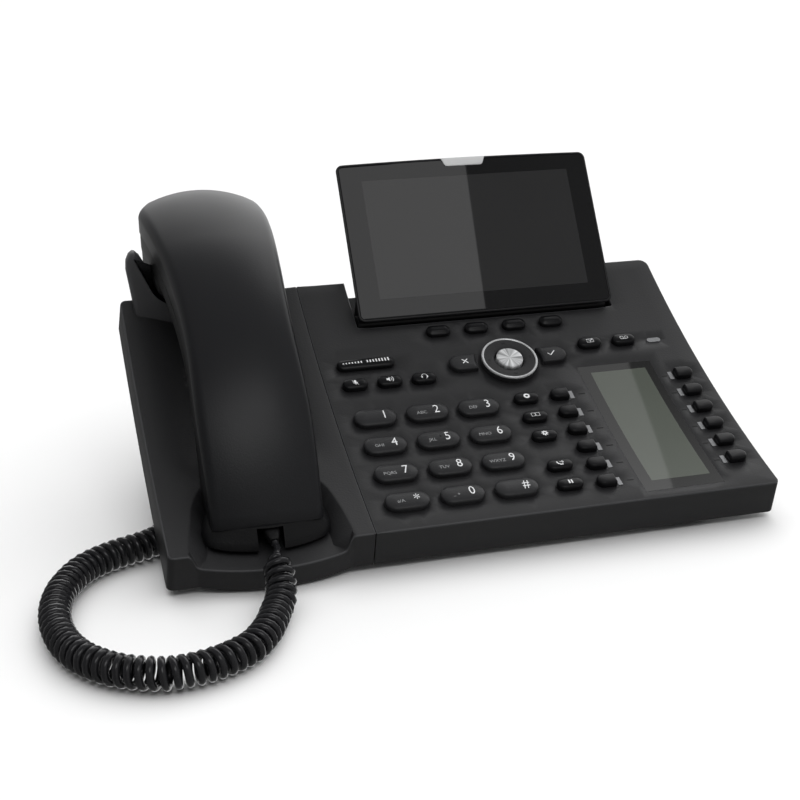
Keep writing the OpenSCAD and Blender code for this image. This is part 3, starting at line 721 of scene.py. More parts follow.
def icon_voicemail():
    return joined(ring_line(-1.05, 0, 0.75, 0, 360, 0.2, 18),
                  ring_line(1.05, 0, 0.75, 0, 360, 0.2, 18),
                  stroke([(-1.05, -0.75), (1.05, -0.75)], 0.2))


def icon_dnd():
    return joined(ring_line(0, 0, 0.95, 0, 360, 0.75, 20), disc(0, 0.85, 0.4), disc(0, -0.85, 0.4))


def icon_book():
    return joined(stroke([(-1.7, -0.95), (-0.1, -0.8), (-0.1, 0.95), (-1.7, 0.8)], 0.2, True),
                  stroke([(1.7, -0.95), (0.1, -0.8), (0.1, 0.95), (1.7, 0.8)], 0.2, True))


def icon_gear():
    teeth = []
    for k in range(8):
        a = 45 * k
        for da, r in ((-13, 1.0), (-8, 1.4), (8, 1.4), (13, 1.0)):
            teeth.append((r * math.cos(math.radians(a + da)), r * math.sin(math.radians(a + da))))
    inner = arc_points(0, 0, 0.45, 360, 360 / 32, 31)
    return teeth + inner, [(k, (k + 1) % 32, 32 + (31 - k) % 32, 32 + (32 - k) % 32)
                           for k in range(32)]


def icon_transfer():
    return joined(stroke([(-1.4, 0.7), (-1.0, -0.4), (0.0, -1.0), (1.0, -0.9)], 0.5),
                  stroke([(-0.2, 0.4), (1.4, 0.4)], 0.22),
                  stroke([(0.8, 1.0), (1.5, 0.4), (0.8, -0.2)], 0.22))


def icon_hold():
    return joined(box(-0.85, -1.0, -0.25, 1.0), box(0.25, -1.0, 0.85, 1.0))


PILL_L, PILL_W = 10.6, 5.6
FUNC_X, FUNC_PITCH = 35.5, 11.3
SOFT_X, SOFT_PITCH, SOFT_S = 10.3, 17.05, 108.7
AUDIO_X, AUDIO_PITCH, AUDIO_S = -32.4, 14.57, 82.0
ROCKER_X, ROCKER_S, ROCKER_L, ROCKER_W = -25.2, 93.5, 24.5, 5.6
MESSAGE_S = 93.3
FUNC_BACK_S, FUNC_FRONT_S = 41.8, 12.6
PILLS = [
    ("mute_key", AUDIO_X, AUDIO_S, icon_mute),
    ("speaker_key", AUDIO_X + AUDIO_PITCH, AUDIO_S, icon_speaker),
    ("headset_key", AUDIO_X + 2 * AUDIO_PITCH, AUDIO_S, icon_headset),
    ("message_key", 74.1, MESSAGE_S, icon_message),
    ("voicemail_key", 89.9, MESSAGE_S, icon_voicemail),
    ("dnd_key", FUNC_X, FUNC_BACK_S + 2 * FUNC_PITCH, icon_dnd),
    ("directory_key", FUNC_X, FUNC_BACK_S + FUNC_PITCH, icon_book),
    ("settings_key", FUNC_X, FUNC_BACK_S, icon_gear),
    ("transfer_key", FUNC_X, FUNC_FRONT_S + FUNC_PITCH, icon_transfer),
    ("hold_key", FUNC_X, FUNC_FRONT_S, icon_hold),
]
LINE_PITCH, LINE_L, LINE_W = 10.55, 8.0, 5.6
LINE_LEFT_X, LINE_LEFT_S, LINE_RIGHT_X, LINE_RIGHT_S = 50.2, 12.0, 108.6, 17.2
LED_DX, LED_HALF_X, LED_HALF_S = 5.5, 0.95, 2.25
LINE_KEYS = [(f"line_key_{side}_{k}", x, s0 + (6 - k) * LINE_PITCH, flat)
             for side, x, s0, flat in (("left", LINE_LEFT_X, LINE_LEFT_S, 1),
                                       ("right", LINE_RIGHT_X, LINE_RIGHT_S, -1))
             for k in range(1, 7)]


def poly_at(loop):
    return lambda t: offset(loop, t)


def make_small_keys():
    loop = stadium_loop(PILL_L, PILL_W)
    for node, x, s, icon in PILLS:
        make_key(node, stadium_at(PILL_L, PILL_W), PILL_CAP, x, s)
        print_key(node, icon(), loop, PILL_CAP, x, s)
    for k in range(4):
        make_key(f"soft_key_{k + 1}", stadium_at(PILL_L, PILL_W), SOFT_CAP,
                 SOFT_X + k * SOFT_PITCH, SOFT_S)
    for node, side, icon in (("cancel_key", -1, icon_cross), ("confirm_key", 1, icon_tick)):
        wing = wing_loop(side)
        make_key(node, poly_at(wing), WING_CAP, NAV_X, NAV_S, "dial_top", foot=0.3)
        print_key(node, moved(icon(), side * WING_X, WING_Y), wing, WING_CAP, NAV_X, NAV_S)
    for node, x, s, flat in LINE_KEYS:
        make_key(node, poly_at(line_loop(LINE_L, LINE_W, flat)), LINE_CAP, x, s, foot=0.5)
    make_key("volume_rocker", stadium_at(ROCKER_L, ROCKER_W), ROCKER_CAP, ROCKER_X, ROCKER_S,
             low=-4.4)
    ticks = []
    for k in range(16):
        if k == 7:      # the gap at the rocker's middle
            continue
        x = -9.6 + k * 1.28
        h = 0.25 + 1.6 * (k / 15) ** 1.2
        ticks.append(box(x - 0.27, -0.35, x + 0.27, -0.35 + h + 0.35))
    print_key("volume_rocker", joined(*ticks), stadium_loop(ROCKER_L, ROCKER_W), ROCKER_CAP,
              ROCKER_X, ROCKER_S)


def lathe(profile, n, m, closed=True):
    """Rings from (radius, z) about the local z axis of matrix m; returns vertices and faces."""
    rings = [[(r * math.cos(a), r * math.sin(a), z) for a in turns(n)] for r, z in profile]
    return [m @ Vector(p) for ring in rings for p in ring], loft(rings, closed)


def make_nav():
    m = face_frame(NAV_X, NAV_S)
    rim_out = [(NAV_R + 1, -4.4), (NAV_R + 1, -3.4), (NAV_R, -3.4), (NAV_R, 2.5),
               (NAV_R - 0.06, 2.9), (NAV_R - 0.25, 3.2), (NAV_R - 0.55, 3.3),
               (NAV_R - 0.85, 3.22), (NAV_R - 1.02, 3.0)]
    dish = [(NAV_R - 1.12, 2.95), (NAV_R - 1.5, 2.92), (9.2, 2.85), (7.6, 2.72), (6.7, 2.55),
            (6.45, 2.35), (6.3, 2.0), (6.3, -4.4)]
    profile = rim_out + dish
    n = 96
    verts, faces = lathe(profile, n, m, False)
    last = len(profile) - 1
    faces += [(last * n + k, last * n + (k + 1) % n, (k + 1) % n, k) for k in range(n)]
    slots = [1 if 3 <= i // n < len(rim_out) - 1 else 0 for i in range(len(faces))]
    ring = add("navigation_ring", verts, faces, None, "nav_ring",
               slots=[MAT["ring_dark"], MAT["chrome_rim"]], face_slots=slots)
    sharpen(ring, 40)
    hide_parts("nav_ring")
    cap = [(NAV_BUTTON_R, -3.4), (NAV_BUTTON_R, 2.9), (NAV_BUTTON_R - 0.08, 3.2),
           (NAV_BUTTON_R - 0.3, 3.42), (NAV_BUTTON_R - 0.7, 3.5), (4.0, 3.48), (2.5, 3.44),
           (1.2, 3.42), (0.25, 3.41)]
    verts, faces = lathe([(3.0, -5.8), (3.0, -3.4)] + cap, 64, m)
    button = add("navigation_button", verts, faces, MAT["button_brushed"], "nav_button")
    sharpen(button, 40)
    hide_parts("nav_button")
    for k in range(4):
        a = math.pi / 2 * k
        tip = [(-0.75, 0.0), (0.0, 0.62), (0.75, 0.0)]
        turned = [(x * math.cos(a) - (y + 8.7) * math.sin(a),
                   x * math.sin(a) + (y + 8.7) * math.cos(a)) for x, y in tip]
        lay_on_key(f"nav_arrow_{k}", stroke(turned, 0.3), "nav_ring", lambda px, py: 2.86,
                   NAV_X, NAV_S, MAT["arrow_dark"])


# ---------- sheets that follow the face ----------
def cdt(outer, holes, step, rows=(), skip=None):
    """Triangles filling outer minus holes, with inner points on a grid and on given rows.
    Returns points, faces; the loops' points come first, in order."""
    loops = [outer] + holes
    points, edges = [], []
    for loop in loops:
        base = len(points)
        points += loop
        edges += [(base + i, base + (i + 1) % len(loop)) for i in range(len(loop))]
    count = len(points)
    xs = [p[0] for p in outer]
    ys = [p[1] for p in outer]
    inner = []
    nx, ny = int((max(xs) - min(xs)) / step[0]), int((max(ys) - min(ys)) / step[1])
    for i in range(1, nx):
        for j in range(1, ny):
            inner.append((min(xs) + i * (max(xs) - min(xs)) / nx, min(ys) + j * (max(ys) - min(ys)) / ny))
    cell = max(step)
    near = {}
    for p in points:
        near.setdefault((int(p[0] // cell), int(p[1] // cell)), []).append(p)

    def crowded(q):
        gx, gy = int(q[0] // cell), int(q[1] // cell)
        for dx in (-1, 0, 1):
            for dy in (-1, 0, 1):
                for p in near.get((gx + dx, gy + dy), ()):
                    if abs(p[0] - q[0]) < 0.35 * step[0] and abs(p[1] - q[1]) < 0.35 * step[1]:
                        return True
        return False

    if skip:
        inner = [q for q in inner if not skip(*q)]
    points = points + [q for q in list(rows) + inner if not crowded(q)]
    result = geometry.delaunay_2d_cdt([Vector(p) for p in points], edges, [], 4, 1e-5)
    verts, _, faces, origin = result[0], result[1], result[2], result[3]
    place = {}
    for new, old in enumerate(origin):
        for o in old:
            place[o] = new
    order = [place[i] for i in range(count)]
    return [tuple(v) for v in verts], [tuple(f) for f in faces], order


def make_sheet(name, outer, holes, material, body, height, edge_r, wall, skirt, flare,
               hole_r=0.2, step=(8, 6), rows=(), skip=None):
    """Moulded cover: a skin that follows the face with rounded edges, openings, and a skirt.
    height(x, s) is the skin's height over the face. Loops are counter-clockwise in (x, s)."""
    low = -skirt
    top_outer = offset(outer, lambda i: edge_r(*outer[i]))
    top_holes = [offset(h, -hole_r) for h in holes]
    pts, tris, order = cdt(top_outer, top_holes, step, rows, skip)
    verts = [on(x, s, height(x, s)) for x, s in pts]
    faces = [f if ccw(pts, f) else f[::-1] for f in tris]

    def ring(loop, level):
        base = len(verts)
        for x, s in loop:
            verts.append(on(flare(x, level(x, s)), s, level(x, s)))
        return [base + i for i in range(len(loop))]

    def join(a, b, flip=False):
        n = len(a)
        for i in range(n):
            j = (i + 1) % n
            f = (a[i], b[i], b[j], a[j])
            faces.append(f[::-1] if flip else f)

    loop = order[:len(outer)]
    fillet_from = len(faces)
    for w in (30, 60, 90):
        a = math.radians(w)
        nxt = ring(offset(outer, lambda i: edge_r(*outer[i]) * (1 - math.sin(a))),
                   lambda x, s: height(x, s) - edge_r(x, s) * (1 - math.cos(a)))
        join(loop, nxt)
        loop = nxt
    fillet_to = len(faces)
    for level in (0.5, 1.0):
        nxt = ring(outer, lambda x, s: lerp(height(x, s), low, level) if level < 1 else low)
        join(loop, nxt)
        loop = nxt
    inner = offset(outer, wall)
    nxt = ring(inner, lambda x, s: low)
    join(loop, nxt)
    loop = nxt
    pts2, tris2, order2 = cdt(inner, holes, (step[0] * 2, step[1] * 2))
    base = len(verts)
    verts += [on(x, s, height(x, s) - wall) for x, s in pts2]
    faces += [tuple(base + i for i in (f[::-1] if ccw(pts2, f) else f)) for f in tris2]
    join(loop, [base + i for i in order2[:len(inner)]])
    at, at2 = len(outer), len(inner)
    for hole in holes:
        n = len(hole)
        loop = order[at:at + n]
        for w in (45, 90):
            a = math.radians(w)
            nxt = ring(offset(hole, -hole_r * (1 - math.sin(a))),
                       lambda x, s: height(x, s) - hole_r * (1 - math.cos(a)))
            join(loop, nxt, True)
            loop = nxt
        join(loop, [base + i for i in order2[at2:at2 + n]], True)
        at += n
        at2 += n
    # The edge fillets take the lighter material: a painted highlight along the rounded edges.
    painted_highlight_faces = [1 if fillet_from <= i < fillet_to else 0 for i in range(len(faces))]
    obj = add(name, verts, faces, material, body, slots=[material, MAT["body_painted_light"]],
              face_slots=painted_highlight_faces)
    sharpen(obj, 40)
    return obj


def ccw(pts, f):
    a, b, c = (pts[i] for i in f[:3])
    return (b[0] - a[0]) * (c[1] - a[1]) - (b[1] - a[1]) * (c[0] - a[0]) > 0


KEY_GAP = 0.3
LABEL_X0, LABEL_X1, LABEL_S0, LABEL_S1 = 63.8, 97.6, 4.0, 80.6
STATUS_X, STATUS_S, STATUS_L, STATUS_W = 104.2, 92.4, 6.3, 2.4
RECESS_X0, RECESS_X1, RECESS_S0, RECESS_D = -23.3, 93.2, 115.6, 10.0


def rect(x, z, w, h):
    """Corners of a rectangle round its centre, counter-clockwise."""
    return [(x - w / 2, z - h / 2), (x + w / 2, z - h / 2), (x + w / 2, z + h / 2),
            (x - w / 2, z + h / 2)]


def shifted(loop, x, s):
    return [(px + x, py + s) for px, py in loop]


def console_holes():
    g = 2 * KEY_GAP
    holes = [stadium_loop(DIAL_L + g, DIAL_W + g, DIAL_X + i * DIAL_PX, DIAL_S + j * DIAL_PS)
             for i in range(3) for j in range(4)]
    holes += [stadium_loop(PILL_L + g, PILL_W + g, x, s) for _, x, s, _ in PILLS]
    holes += [stadium_loop(PILL_L + g, PILL_W + g, SOFT_X + k * SOFT_PITCH, SOFT_S) for k in range(4)]
    for _, x, s, flat in LINE_KEYS:
        key = line_loop(LINE_L + g, LINE_W + g, flat, x, s)
        holes.append(key)
        holes.append(rect(x + flat * LED_DX, s, 2 * LED_HALF_X, 2 * LED_HALF_S))
    holes.append(stadium_loop(ROCKER_L + 1, ROCKER_W + 0.8, ROCKER_X, ROCKER_S))
    holes.append(stadium_loop(STATUS_L + 0.1, STATUS_W + 0.1, STATUS_X, STATUS_S))
    holes.append(arc_points(NAV_X, NAV_S, NAV_R + 0.6, 0, 360 - 360 / 72, 71))
    for side in (-1, 1):
        holes.append(shifted(wing_loop(side, KEY_GAP), NAV_X, NAV_S))
    holes.append([(LABEL_X0 - 0.1, LABEL_S0 - 0.1), (LABEL_X1 + 0.1, LABEL_S0 - 0.1),
                  (LABEL_X1 + 0.1, LABEL_S1 + 0.1), (LABEL_X0 - 0.1, LABEL_S1 + 0.1)])
    return [dense(h, 5) for h in holes]


FLARE, FLARE_SPAN = 0.8, 6


def flare_x(x, h):
    """The skirt leans out by FLARE at its foot, over the last FLARE_SPAN of the width."""
    if abs(x) < HALF_W - FLARE_SPAN:
        return x
    share = (abs(x) - HALF_W + FLARE_SPAN) / FLARE_SPAN
    return x + math.copysign(FLARE * max(-h, 0) / SKIRT * share, x)


def console_edge(x, s):
    """Edge radius: tight at the seam, wide where the tilted display comes down."""
    if x < SEAM_X + 0.5:
        return 0.2
    return 1.3 if RECESS_X0 + 2 < x < RECESS_X1 - 2 and abs(s - RECESS_S0) < 1 else 0.55


def make_console():
    outer = rounded_loop([
        (SEAM_X, 0, 0.3), (HALF_W, 0, 2.5), (HALF_W, FACE_LEN, 4), (RECESS_X1, FACE_LEN, 0.4),
        (RECESS_X1, RECESS_S0, 0.8), (RECESS_X0, RECESS_S0, 0.8), (RECESS_X0, FACE_LEN, 0.4),
        (SEAM_X, FACE_LEN, 0.3)], 8)
    outer = dense(outer, 6)
    cover = make_sheet("console_shell", outer, console_holes(), MAT["body_plastic"], "base",
                       lambda x, s: 0.0, console_edge, 2.3, SKIRT, flare_x)
    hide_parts("console_cover")
    slab(RECESS_X0 - 0.5, RECESS_X1 + 0.5, -RECESS_D, -RECESS_D - 1.6, RECESS_S0 - 0.5, FACE_LEN - 0.3,
         "recess_floor")
    slab(RECESS_X0 - 0.5, RECESS_X1 + 0.5, -RECESS_D - 0.4, -SKIRT, FACE_LEN - 2.3, FACE_LEN - 0.3,
         "recess_back")


def slab(x0, x1, h_top, h_low, s0, s1, name):
    """Curved slab between two heights, closed all round."""
    n = 24
    rings = []
    for k in range(n + 1):
        s = lerp(s0, s1, k / n)
        rings.append([on(x0, s, h_low), on(x1, s, h_low), on(x1, s, h_top), on(x0, s, h_top)])
    solid(name, rings, MAT["body_plastic"], "base", sharp=30, flip=True)


# ---------- cradle ----------
WELL_X, WELL_D = -81.0, 6.2
HAND_X = -81.7
# The mouth well's rim in (x, s), and its wall as (share of the width, share of the depth).
WELL_RIM = [(-113.6, -16), (-113.3, -4), (-111.5, 8), (-109.2, 18), (-107.2, 27), (-102.6, 35.5),
            (-94, 41.4), (-81.5, 43.4), (-69.5, 41.4), (-61.2, 36), (-56.6, 28.5), (-54, 18),
            (-52.6, 8), (-51.6, -4), (-51.3, -16)]
WELL_WALL = [(-0.1, 0.0), (0.05, 0.01), (0.2, 0.06), (0.32, 0.17), (0.42, 0.36), (0.5, 0.52),
             (0.58, 0.68), (0.68, 0.85), (0.82, 0.95), (0.98, 0.99), (1.12, 1.0)]


def well_width(s):
    return lerp(4.8, 3.2, smooth((s + 6) / 34))


def well_rows():
    """Points along the well's wall, one row for each corner of its section."""
    rim = [(p.x, p.y) for p in catmull([(x, s, 0) for x, s in WELL_RIM], 1.0)]
    normals = inward_normals(rim)
    rows = []
    for t, _ in WELL_WALL:
        for (x, s), (nx, ns) in zip(rim[1:-1], normals[1:-1]):
            w = well_width(s) * t
            q = (x + nx * w, s + ns * w)
            if q[1] > front_edge(q[0]) + 0.9:
                rows.append(q)
    return rim, rows


def front_edge(x):
    """Front edge of the cradle: straight, bulging forward at the mouth."""
    if abs(x - WELL_X) < 28.2:
        return -(math.sqrt(81 ** 2 - (x - WELL_X) ** 2) - 76.0)
    return 0.0


def well_inside(rim, x, s):
    """Distance inside the rim, negative outside, as a share of the wall's width."""
    if s > 50 or x < -118 or x > -46:
        return -1.0
    within = False
    best = 1e9
    for i, p in enumerate(rim):
        q = rim[(i + 1) % len(rim)]
        if (p[1] > s) != (q[1] > s) and x < (q[0] - p[0]) * (s - p[1]) / (q[1] - p[1]) + p[0]:
            within = not within
        if i < len(rim) - 1:
            dx, ds = q[0] - p[0], q[1] - p[1]
            k = max(0.0, min(1.0, ((x - p[0]) * dx + (s - p[1]) * ds) / (dx * dx + ds * ds)))
            best = min(best, math.hypot(x - p[0] - k * dx, s - p[1] - k * ds))
    return (best if within else -best) / well_width(s)


def lerp_table(table, t):
    if t <= table[0][0]:
        return table[0][1]
    for (a, va), (b, vb) in zip(table, table[1:]):
        if t <= b:
            return lerp(va, vb, (t - a) / (b - a))
    return table[-1][1]


WELL_LOOP, WELL_ROWS = well_rows()


def cradle_height(x, s):
    """Height of the cradle's skin over the face: mouth well, grip valley, ear well."""
    depth = WELL_D * lerp_table(WELL_WALL, well_inside(WELL_LOOP, x, s))
    across = 1 - abs(x + 81.5) / 35.0
    along = smooth((s - 36) / 22) * smooth((146 - s) / 10)
    if across > 0:
        depth = max(depth, 5.2 * smooth(across * 1.25) * along)
    return -depth


def in_wall(x, s):
    return -0.35 < well_inside(WELL_LOOP, x, s) < 1.35


def make_cradle():
    left, right = -HALF_W + 2.7, SEAM_X - 0.8
    front = [(x, front_edge(x)) for x in [lerp(left, right, k / 120) for k in range(121)]]
    corner_r = rounded_loop([(-HALF_W, FACE_LEN, 2.5), (-HALF_W, 0, 2.5), (left, 0, 0),
                             (right, 0, 0), (SEAM_X - 0.2, 0, 0.3), (SEAM_X - 0.2, FACE_LEN, 0.3)], 8)
    at = min(range(len(corner_r)), key=lambda i: abs(corner_r[i][0] - left) + abs(corner_r[i][1]))
    outer = corner_r[:at] + front + corner_r[at + 2:]
    outer = dense(outer, 4)
    slots = [dense(stadium_loop(34 - (k - 2) ** 2 * 1.2, 1.5, HAND_X, 92 + 4 * k, 5), 4) for k in range(5)]
    cover = make_sheet("cradle_shell", outer, slots, MAT["body_plastic"], "base", cradle_height,
                       lambda x, s: 0.2 if x > SEAM_X - 0.7 else 0.55, 2.3, SKIRT, flare_x,
                       hole_r=0.15, step=(1.6, 2.0), rows=WELL_ROWS, skip=in_wall)
    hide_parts("cradle_cover")
    make_horn()
    m = face_frame(HAND_X, 100)
    verts, faces = lathe([(20, -7.6), (20, -8.2), (14, -8.6), (12, -12.5)], 48, m)
    add("speaker_cone", verts, faces, MAT["inner_plastic"], "base")


def make_horn():
    """Hook beside the ear rest that the handset leans on, as an outline in (x, z)."""
    outline = dense([
        (-109.2, 60), (-64, 60), (-64, 73.2), (-64.8, 74.2), (-98.2, 74.2), (-100.6, 75.1),
        (-102.8, 76.6), (-104.7, 78.9), (-105.9, 81.6), (-106.7, 85.0), (-108.3, 88.7),
        (-110.6, 92.9), (-112.4, 94.7), (-113.4, 94.9), (-114.9, 93.7), (-116.1, 91),
        (-116.4, 87), (-115.4, 80), (-114.5, 73.3), (-114.2, 60)], 4)
    rings = []
    for inset, y in ((2.2, 44.6), (1.4, 44.8), (0.7, 45.3), (0.2, 46.2), (0.0, 47.4),
                     (0.0, 51.3), (0.4, 52.0), (0.9, 52.35), (1.5, 52.5)):
        rings.append([Vector((x, y, z)) * MM for x, z in offset(outline, inset)])
    # The horn is made in the lighter material: painted light on its face, in place of the light that falls
    # on its front.
    solid("ear_horn", rings, MAT["body_painted_light"], "base", sharp=50, flip=True)


# ---------- rear ----------
PORTS = [(26.0, 46.0), (44.0, 46.0)]
REAR_HALF, REAR_LOW, REAR_TOP, REAR_Y0, REAR_Y1 = 101.8, 33.4, 56.4, 48.2, 49.8


def make_rear_panel():
    """Plate across the back of the housing, with a window for each port."""
    outer = rect(0, (REAR_LOW + REAR_TOP) / 2, 2 * REAR_HALF, REAR_TOP - REAR_LOW)
    windows = [rect(x, z, 13.4, 10.4) for x, z in PORTS]
    pts, tris, order = cdt(outer, windows, (400, 400))
    verts = [Vector((x, y, z)) * MM for y in (REAR_Y1, REAR_Y0) for x, z in pts]
    n = len(pts)
    faces = []
    for f in tris:
        f = f if ccw(pts, f) else f[::-1]
        faces += [tuple(f[::-1]), tuple(n + i for i in f)]
    at = 0
    for loop in [outer] + windows:
        ids = order[at:at + 4]
        at += 4
        for a, b in zip(ids, ids[1:] + ids[:1]):
            faces.append((a, b, n + b, n + a) if loop is outer else (b, a, n + a, n + b))
    panel = add("rear_panel", verts, faces, MAT["body_plastic"], "base", shade_smooth=False)


def make_ports():
    """Socket shells round the circuit board's jacks, with their spring contacts."""
    for k, (x, z) in enumerate(PORTS):
        rings = []
        for w, h, y in ((13.3, 10.3, 41.2), (13.3, 10.3, 55.2), (12.7, 9.7, 55.6), (10.8, 7.8, 55.6),
                        (10.2, 7.2, 55.2), (10.2, 7.2, 43.4)):
            rings.append([Vector((px, y, pz)) * MM for px, pz in rect(x, z, w, h)[::-1]])
        solid(f"port_shell_{k}", rings, MAT["inner_plastic"], "base", flat=True)
        pins = joined(*[box(-3.5 + i - 0.2, 0, -3.5 + i + 0.2, 10.6) for i in range(8)])
        add(f"port_contacts_{k}", [Vector((x + px, 43.6 + py, z + 3.55)) * MM for px, py in pins[0]],
            [f[::-1] for f in pins[1]], MAT["port_gold"], "base", shade_smooth=False)


# ---------- handset ----------
HAND_Y, HAND_Z, HAND_R = 63.8, -33.9, 145.0
SHELL_LOW, GRIP_LOW = 131.3, 118.0
MOUTH_A, EAR_HALF, EAR_END = -67.4, 26.1, 80.5
CROWN_R = (EAR_HALF ** 2 + 25) / 10


def hand_point(a, x, r):
    w = math.radians(a)
    return Vector((HAND_X + x, HAND_Y + r * math.sin(w), HAND_Z + r * math.cos(w)))


def hand_half(y):
    return lerp_table([(-75, 20.7), (-65, 20.7), (-53.5, 21.5), (-44, 21.4), (-28.5, 20.5), (-10, 20.9),
                       (11.5, 22.6), (33, 24.5), (58.5, 26.1), (90, 26.1)], y)


def soft_half(y):
    return sum(hand_half(y + d) for d in (-9, -6, -3, 0, 3, 6, 9)) / 7


EAR_CORNER_R = 9.5


def plan_half(y):
    """Half width of the plan, with round corners at the ear."""
    w = soft_half(y)
    r = EAR_CORNER_R
    if y > EAR_END - r:
        w = min(w, EAR_HALF - r + math.sqrt(max(r * r - (y - EAR_END + r) ** 2, 0.0)))
    return w


def round_over(t, e):
    """Drop of a rounded edge of radius e, at a distance t inside it."""
    return 0.0 if t >= e else e - math.sqrt(max(e * e - (e - t) ** 2, 0.0))


def ear_angle(r):
    return math.degrees(math.asin((EAR_END - HAND_Y) / r))


def make_outer_shell():
    n, half = 110, 18
    us = [math.sin(math.pi / 2 * k / half) for k in range(-half, half + 1)]
    edge = 2.8
    rows = []
    for i in range(n + 1):
        t = 1 - (1 - i / n) ** 1.35
        a_mid = lerp(MOUTH_A, ear_angle(HAND_R - 1), t)
        y_mid = HAND_Y + (HAND_R - 1) * math.sin(math.radians(a_mid))
        w = plan_half(y_mid)
        row = []
        for u in us:
            x = w * u
            drop = CROWN_R - math.sqrt(CROWN_R ** 2 - x * x)
            side = w - abs(x)
            end = max(EAR_END - y_mid, 0.0)
            mouth = (a_mid - MOUTH_A) * math.pi / 180 * HAND_R
            lift = 1.9 * smooth((y_mid - 25) / 45) * (1 - (x / EAR_HALF) ** 2)
            rounding = max(round_over(side, edge), round_over(end, edge))
            r = HAND_R + lift - drop - rounding - round_over(mouth, 0.7)
            a = min(a_mid, ear_angle(r)) if y_mid > 0 else a_mid
            row.append(hand_point(a, x, r))
        low = []
        for sign in (-1, 1):
            a = min(a_mid, ear_angle(SHELL_LOW)) if y_mid > 0 else a_mid
            low.append(hand_point(a, sign * w, shell_low(a)))
        rows.append([low[0]] + row + [low[1]])
    close_rows("handset_back", rows, "handset_plastic", "handset_outer_shell")


def shell_low(a):
    """Radius of the outer shell's lower edge: follows the arc, then the face at the mouth."""
    return SHELL_LOW + 8.0 * (1 - smooth((a - MOUTH_A) / 5.0))


def close_rows(name, rows, slot, node):
    """Closed shell of the handset from rows of points; the open side and both ends are filled."""
    n = len(rows[0])
    verts = [p * MM for row in rows for p in row]
    faces = []
    for i in range(len(rows) - 1):
        for k in range(n):
            m = (k + 1) % n
            faces.append((i * n + k, (i + 1) * n + k, (i + 1) * n + m, i * n + m))
    faces.append(tuple(range(n)))
    faces.append(tuple((len(rows) - 1) * n + k for k in range(n))[::-1])
    obj = add(name, verts, faces, MAT[slot], "handset")
    sharpen(obj, 40)
    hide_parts(node)


GRIP_R, GRIP_FLOOR = 7.0, -5.6


def make_grip():
    """Inner side of the grip; it ends on the floor of the mouth well."""
    n = 90
    to_face = face_frame(HAND_X, CUP_S).inverted()
    from_face = to_face.inverted()
    rows = []
    for i in range(n + 1):
        a = lerp(MOUTH_A + 0.6, 5.6, i / n)
        y = HAND_Y + SHELL_LOW * math.sin(math.radians(a))
        w = plan_half(min(y, EAR_END - 1.0)) - 0.35
        top = min(shell_low(a), HAND_R) - 0.15
        section = [(-w, top)]
        for k in range(9):
            b = math.pi / 2 * k / 8
            section.append((-w + GRIP_R * (1 - math.cos(b)), GRIP_LOW + GRIP_R * (1 - math.sin(b))))
        section += [(-x, q) for x, q in section[::-1]]
        row = []
        for x, q in section:
            p = hand_point(a, x, q)
            local = to_face @ (p * MM)
            if y < 0 and local.z < GRIP_FLOOR:
                local.z = GRIP_FLOOR
                p = (from_face @ local) / MM
            row.append(p)
        rows.append(row)
    close_rows("handset_grip", rows, "inner_shell_plastic", "handset_inner_shell")


CUP_S, CUP_HALF, CUP_FRONT, CUP_Z = 15.5, 23.7, 12.5, 5.7


def cup_reach(phi):
    """Reach of the mouth cup's foot from its centre: flat sides and a round front."""
    c, s = math.cos(phi), math.sin(phi)
    side = CUP_HALF if s >= 0 else CUP_HALF / max(abs(c), 1e-3)
    front = 41.5 * s + math.sqrt(54.0 ** 2 - (41.5 * c) ** 2) if s < 0 else 1e3
    a, b = min(side, front), max(side, front)
    return a - 1.6 * math.exp(-((b - a) / 3.0)) * (1 if b < 900 else 0)


def make_mouth_cup():
    m = face_frame(HAND_X, CUP_S)
    n = 96
    bottom, top = [], []
    for k in range(n):
        phi = 2 * math.pi * k / n
        rho = cup_reach(phi)
        bx, by = rho * math.cos(phi), rho * math.sin(phi)
        bottom.append((bx, by))
        x = max(-20.6, min(20.6, bx * 0.9))
        if by < 0:
            front = -7.1 + 3.7 * (x / 20.6) ** 2
            y = max(by * 0.9, front) if abs(bx) > 19.5 else front
            top.append((x, max(y, front), 2.7 - 3.1 * (x / 20.6) ** 2))
        else:
            top.append((x * 0.98, by * 0.8, lerp(-0.4, 4.0, smooth(by / 20))))
    rings = []
    for inset, z in ((2.2, -CUP_Z), (1.0, -CUP_Z + 0.2), (0.35, -CUP_Z + 0.7), (0.05, -CUP_Z + 1.4)):
        rings.append([(x, y, z) for x, y in offset(bottom, inset)])
    for t in (0.15, 0.35, 0.55, 0.75, 0.92, 1.0):
        rings.append([(lerp(b[0], p[0], t ** 1.15), lerp(b[1], p[1], t), lerp(-CUP_Z + 2.0, p[2], t))
                      for b, p in zip(bottom, top)])
    rings.append([(x * 0.9, y * 0.9 + 1.5, z - 0.3) for x, y, z in rings[-1]])
    cup = solid("mouth_cup", placed(m, rings), MAT["inner_shell_plastic"], "handset")
    jm = face_frame(HAND_X - 0.3, 9.0)
    cut = [jm @ Vector(p) for p in ((-4.8, -14, -7.5), (4.8, -14, -7.5), (4.8, 7, -7.5), (-4.8, 7, -7.5),
                                    (-4.8, -14, 2.0), (4.8, -14, 2.0), (4.8, 7, 2.0), (-4.8, 7, 2.0))]
    cutter = add("jack_cutter", cut, [(3, 2, 1, 0), (4, 5, 6, 7), (0, 1, 5, 4), (1, 2, 6, 5),
                                      (2, 3, 7, 6), (3, 0, 4, 7)],
                 MAT["inner_plastic"], None, shade_smooth=False)
    apply_boolean(cup, cutter)
    bpy.data.objects.remove(cutter)
    sharpen(cup, 35)


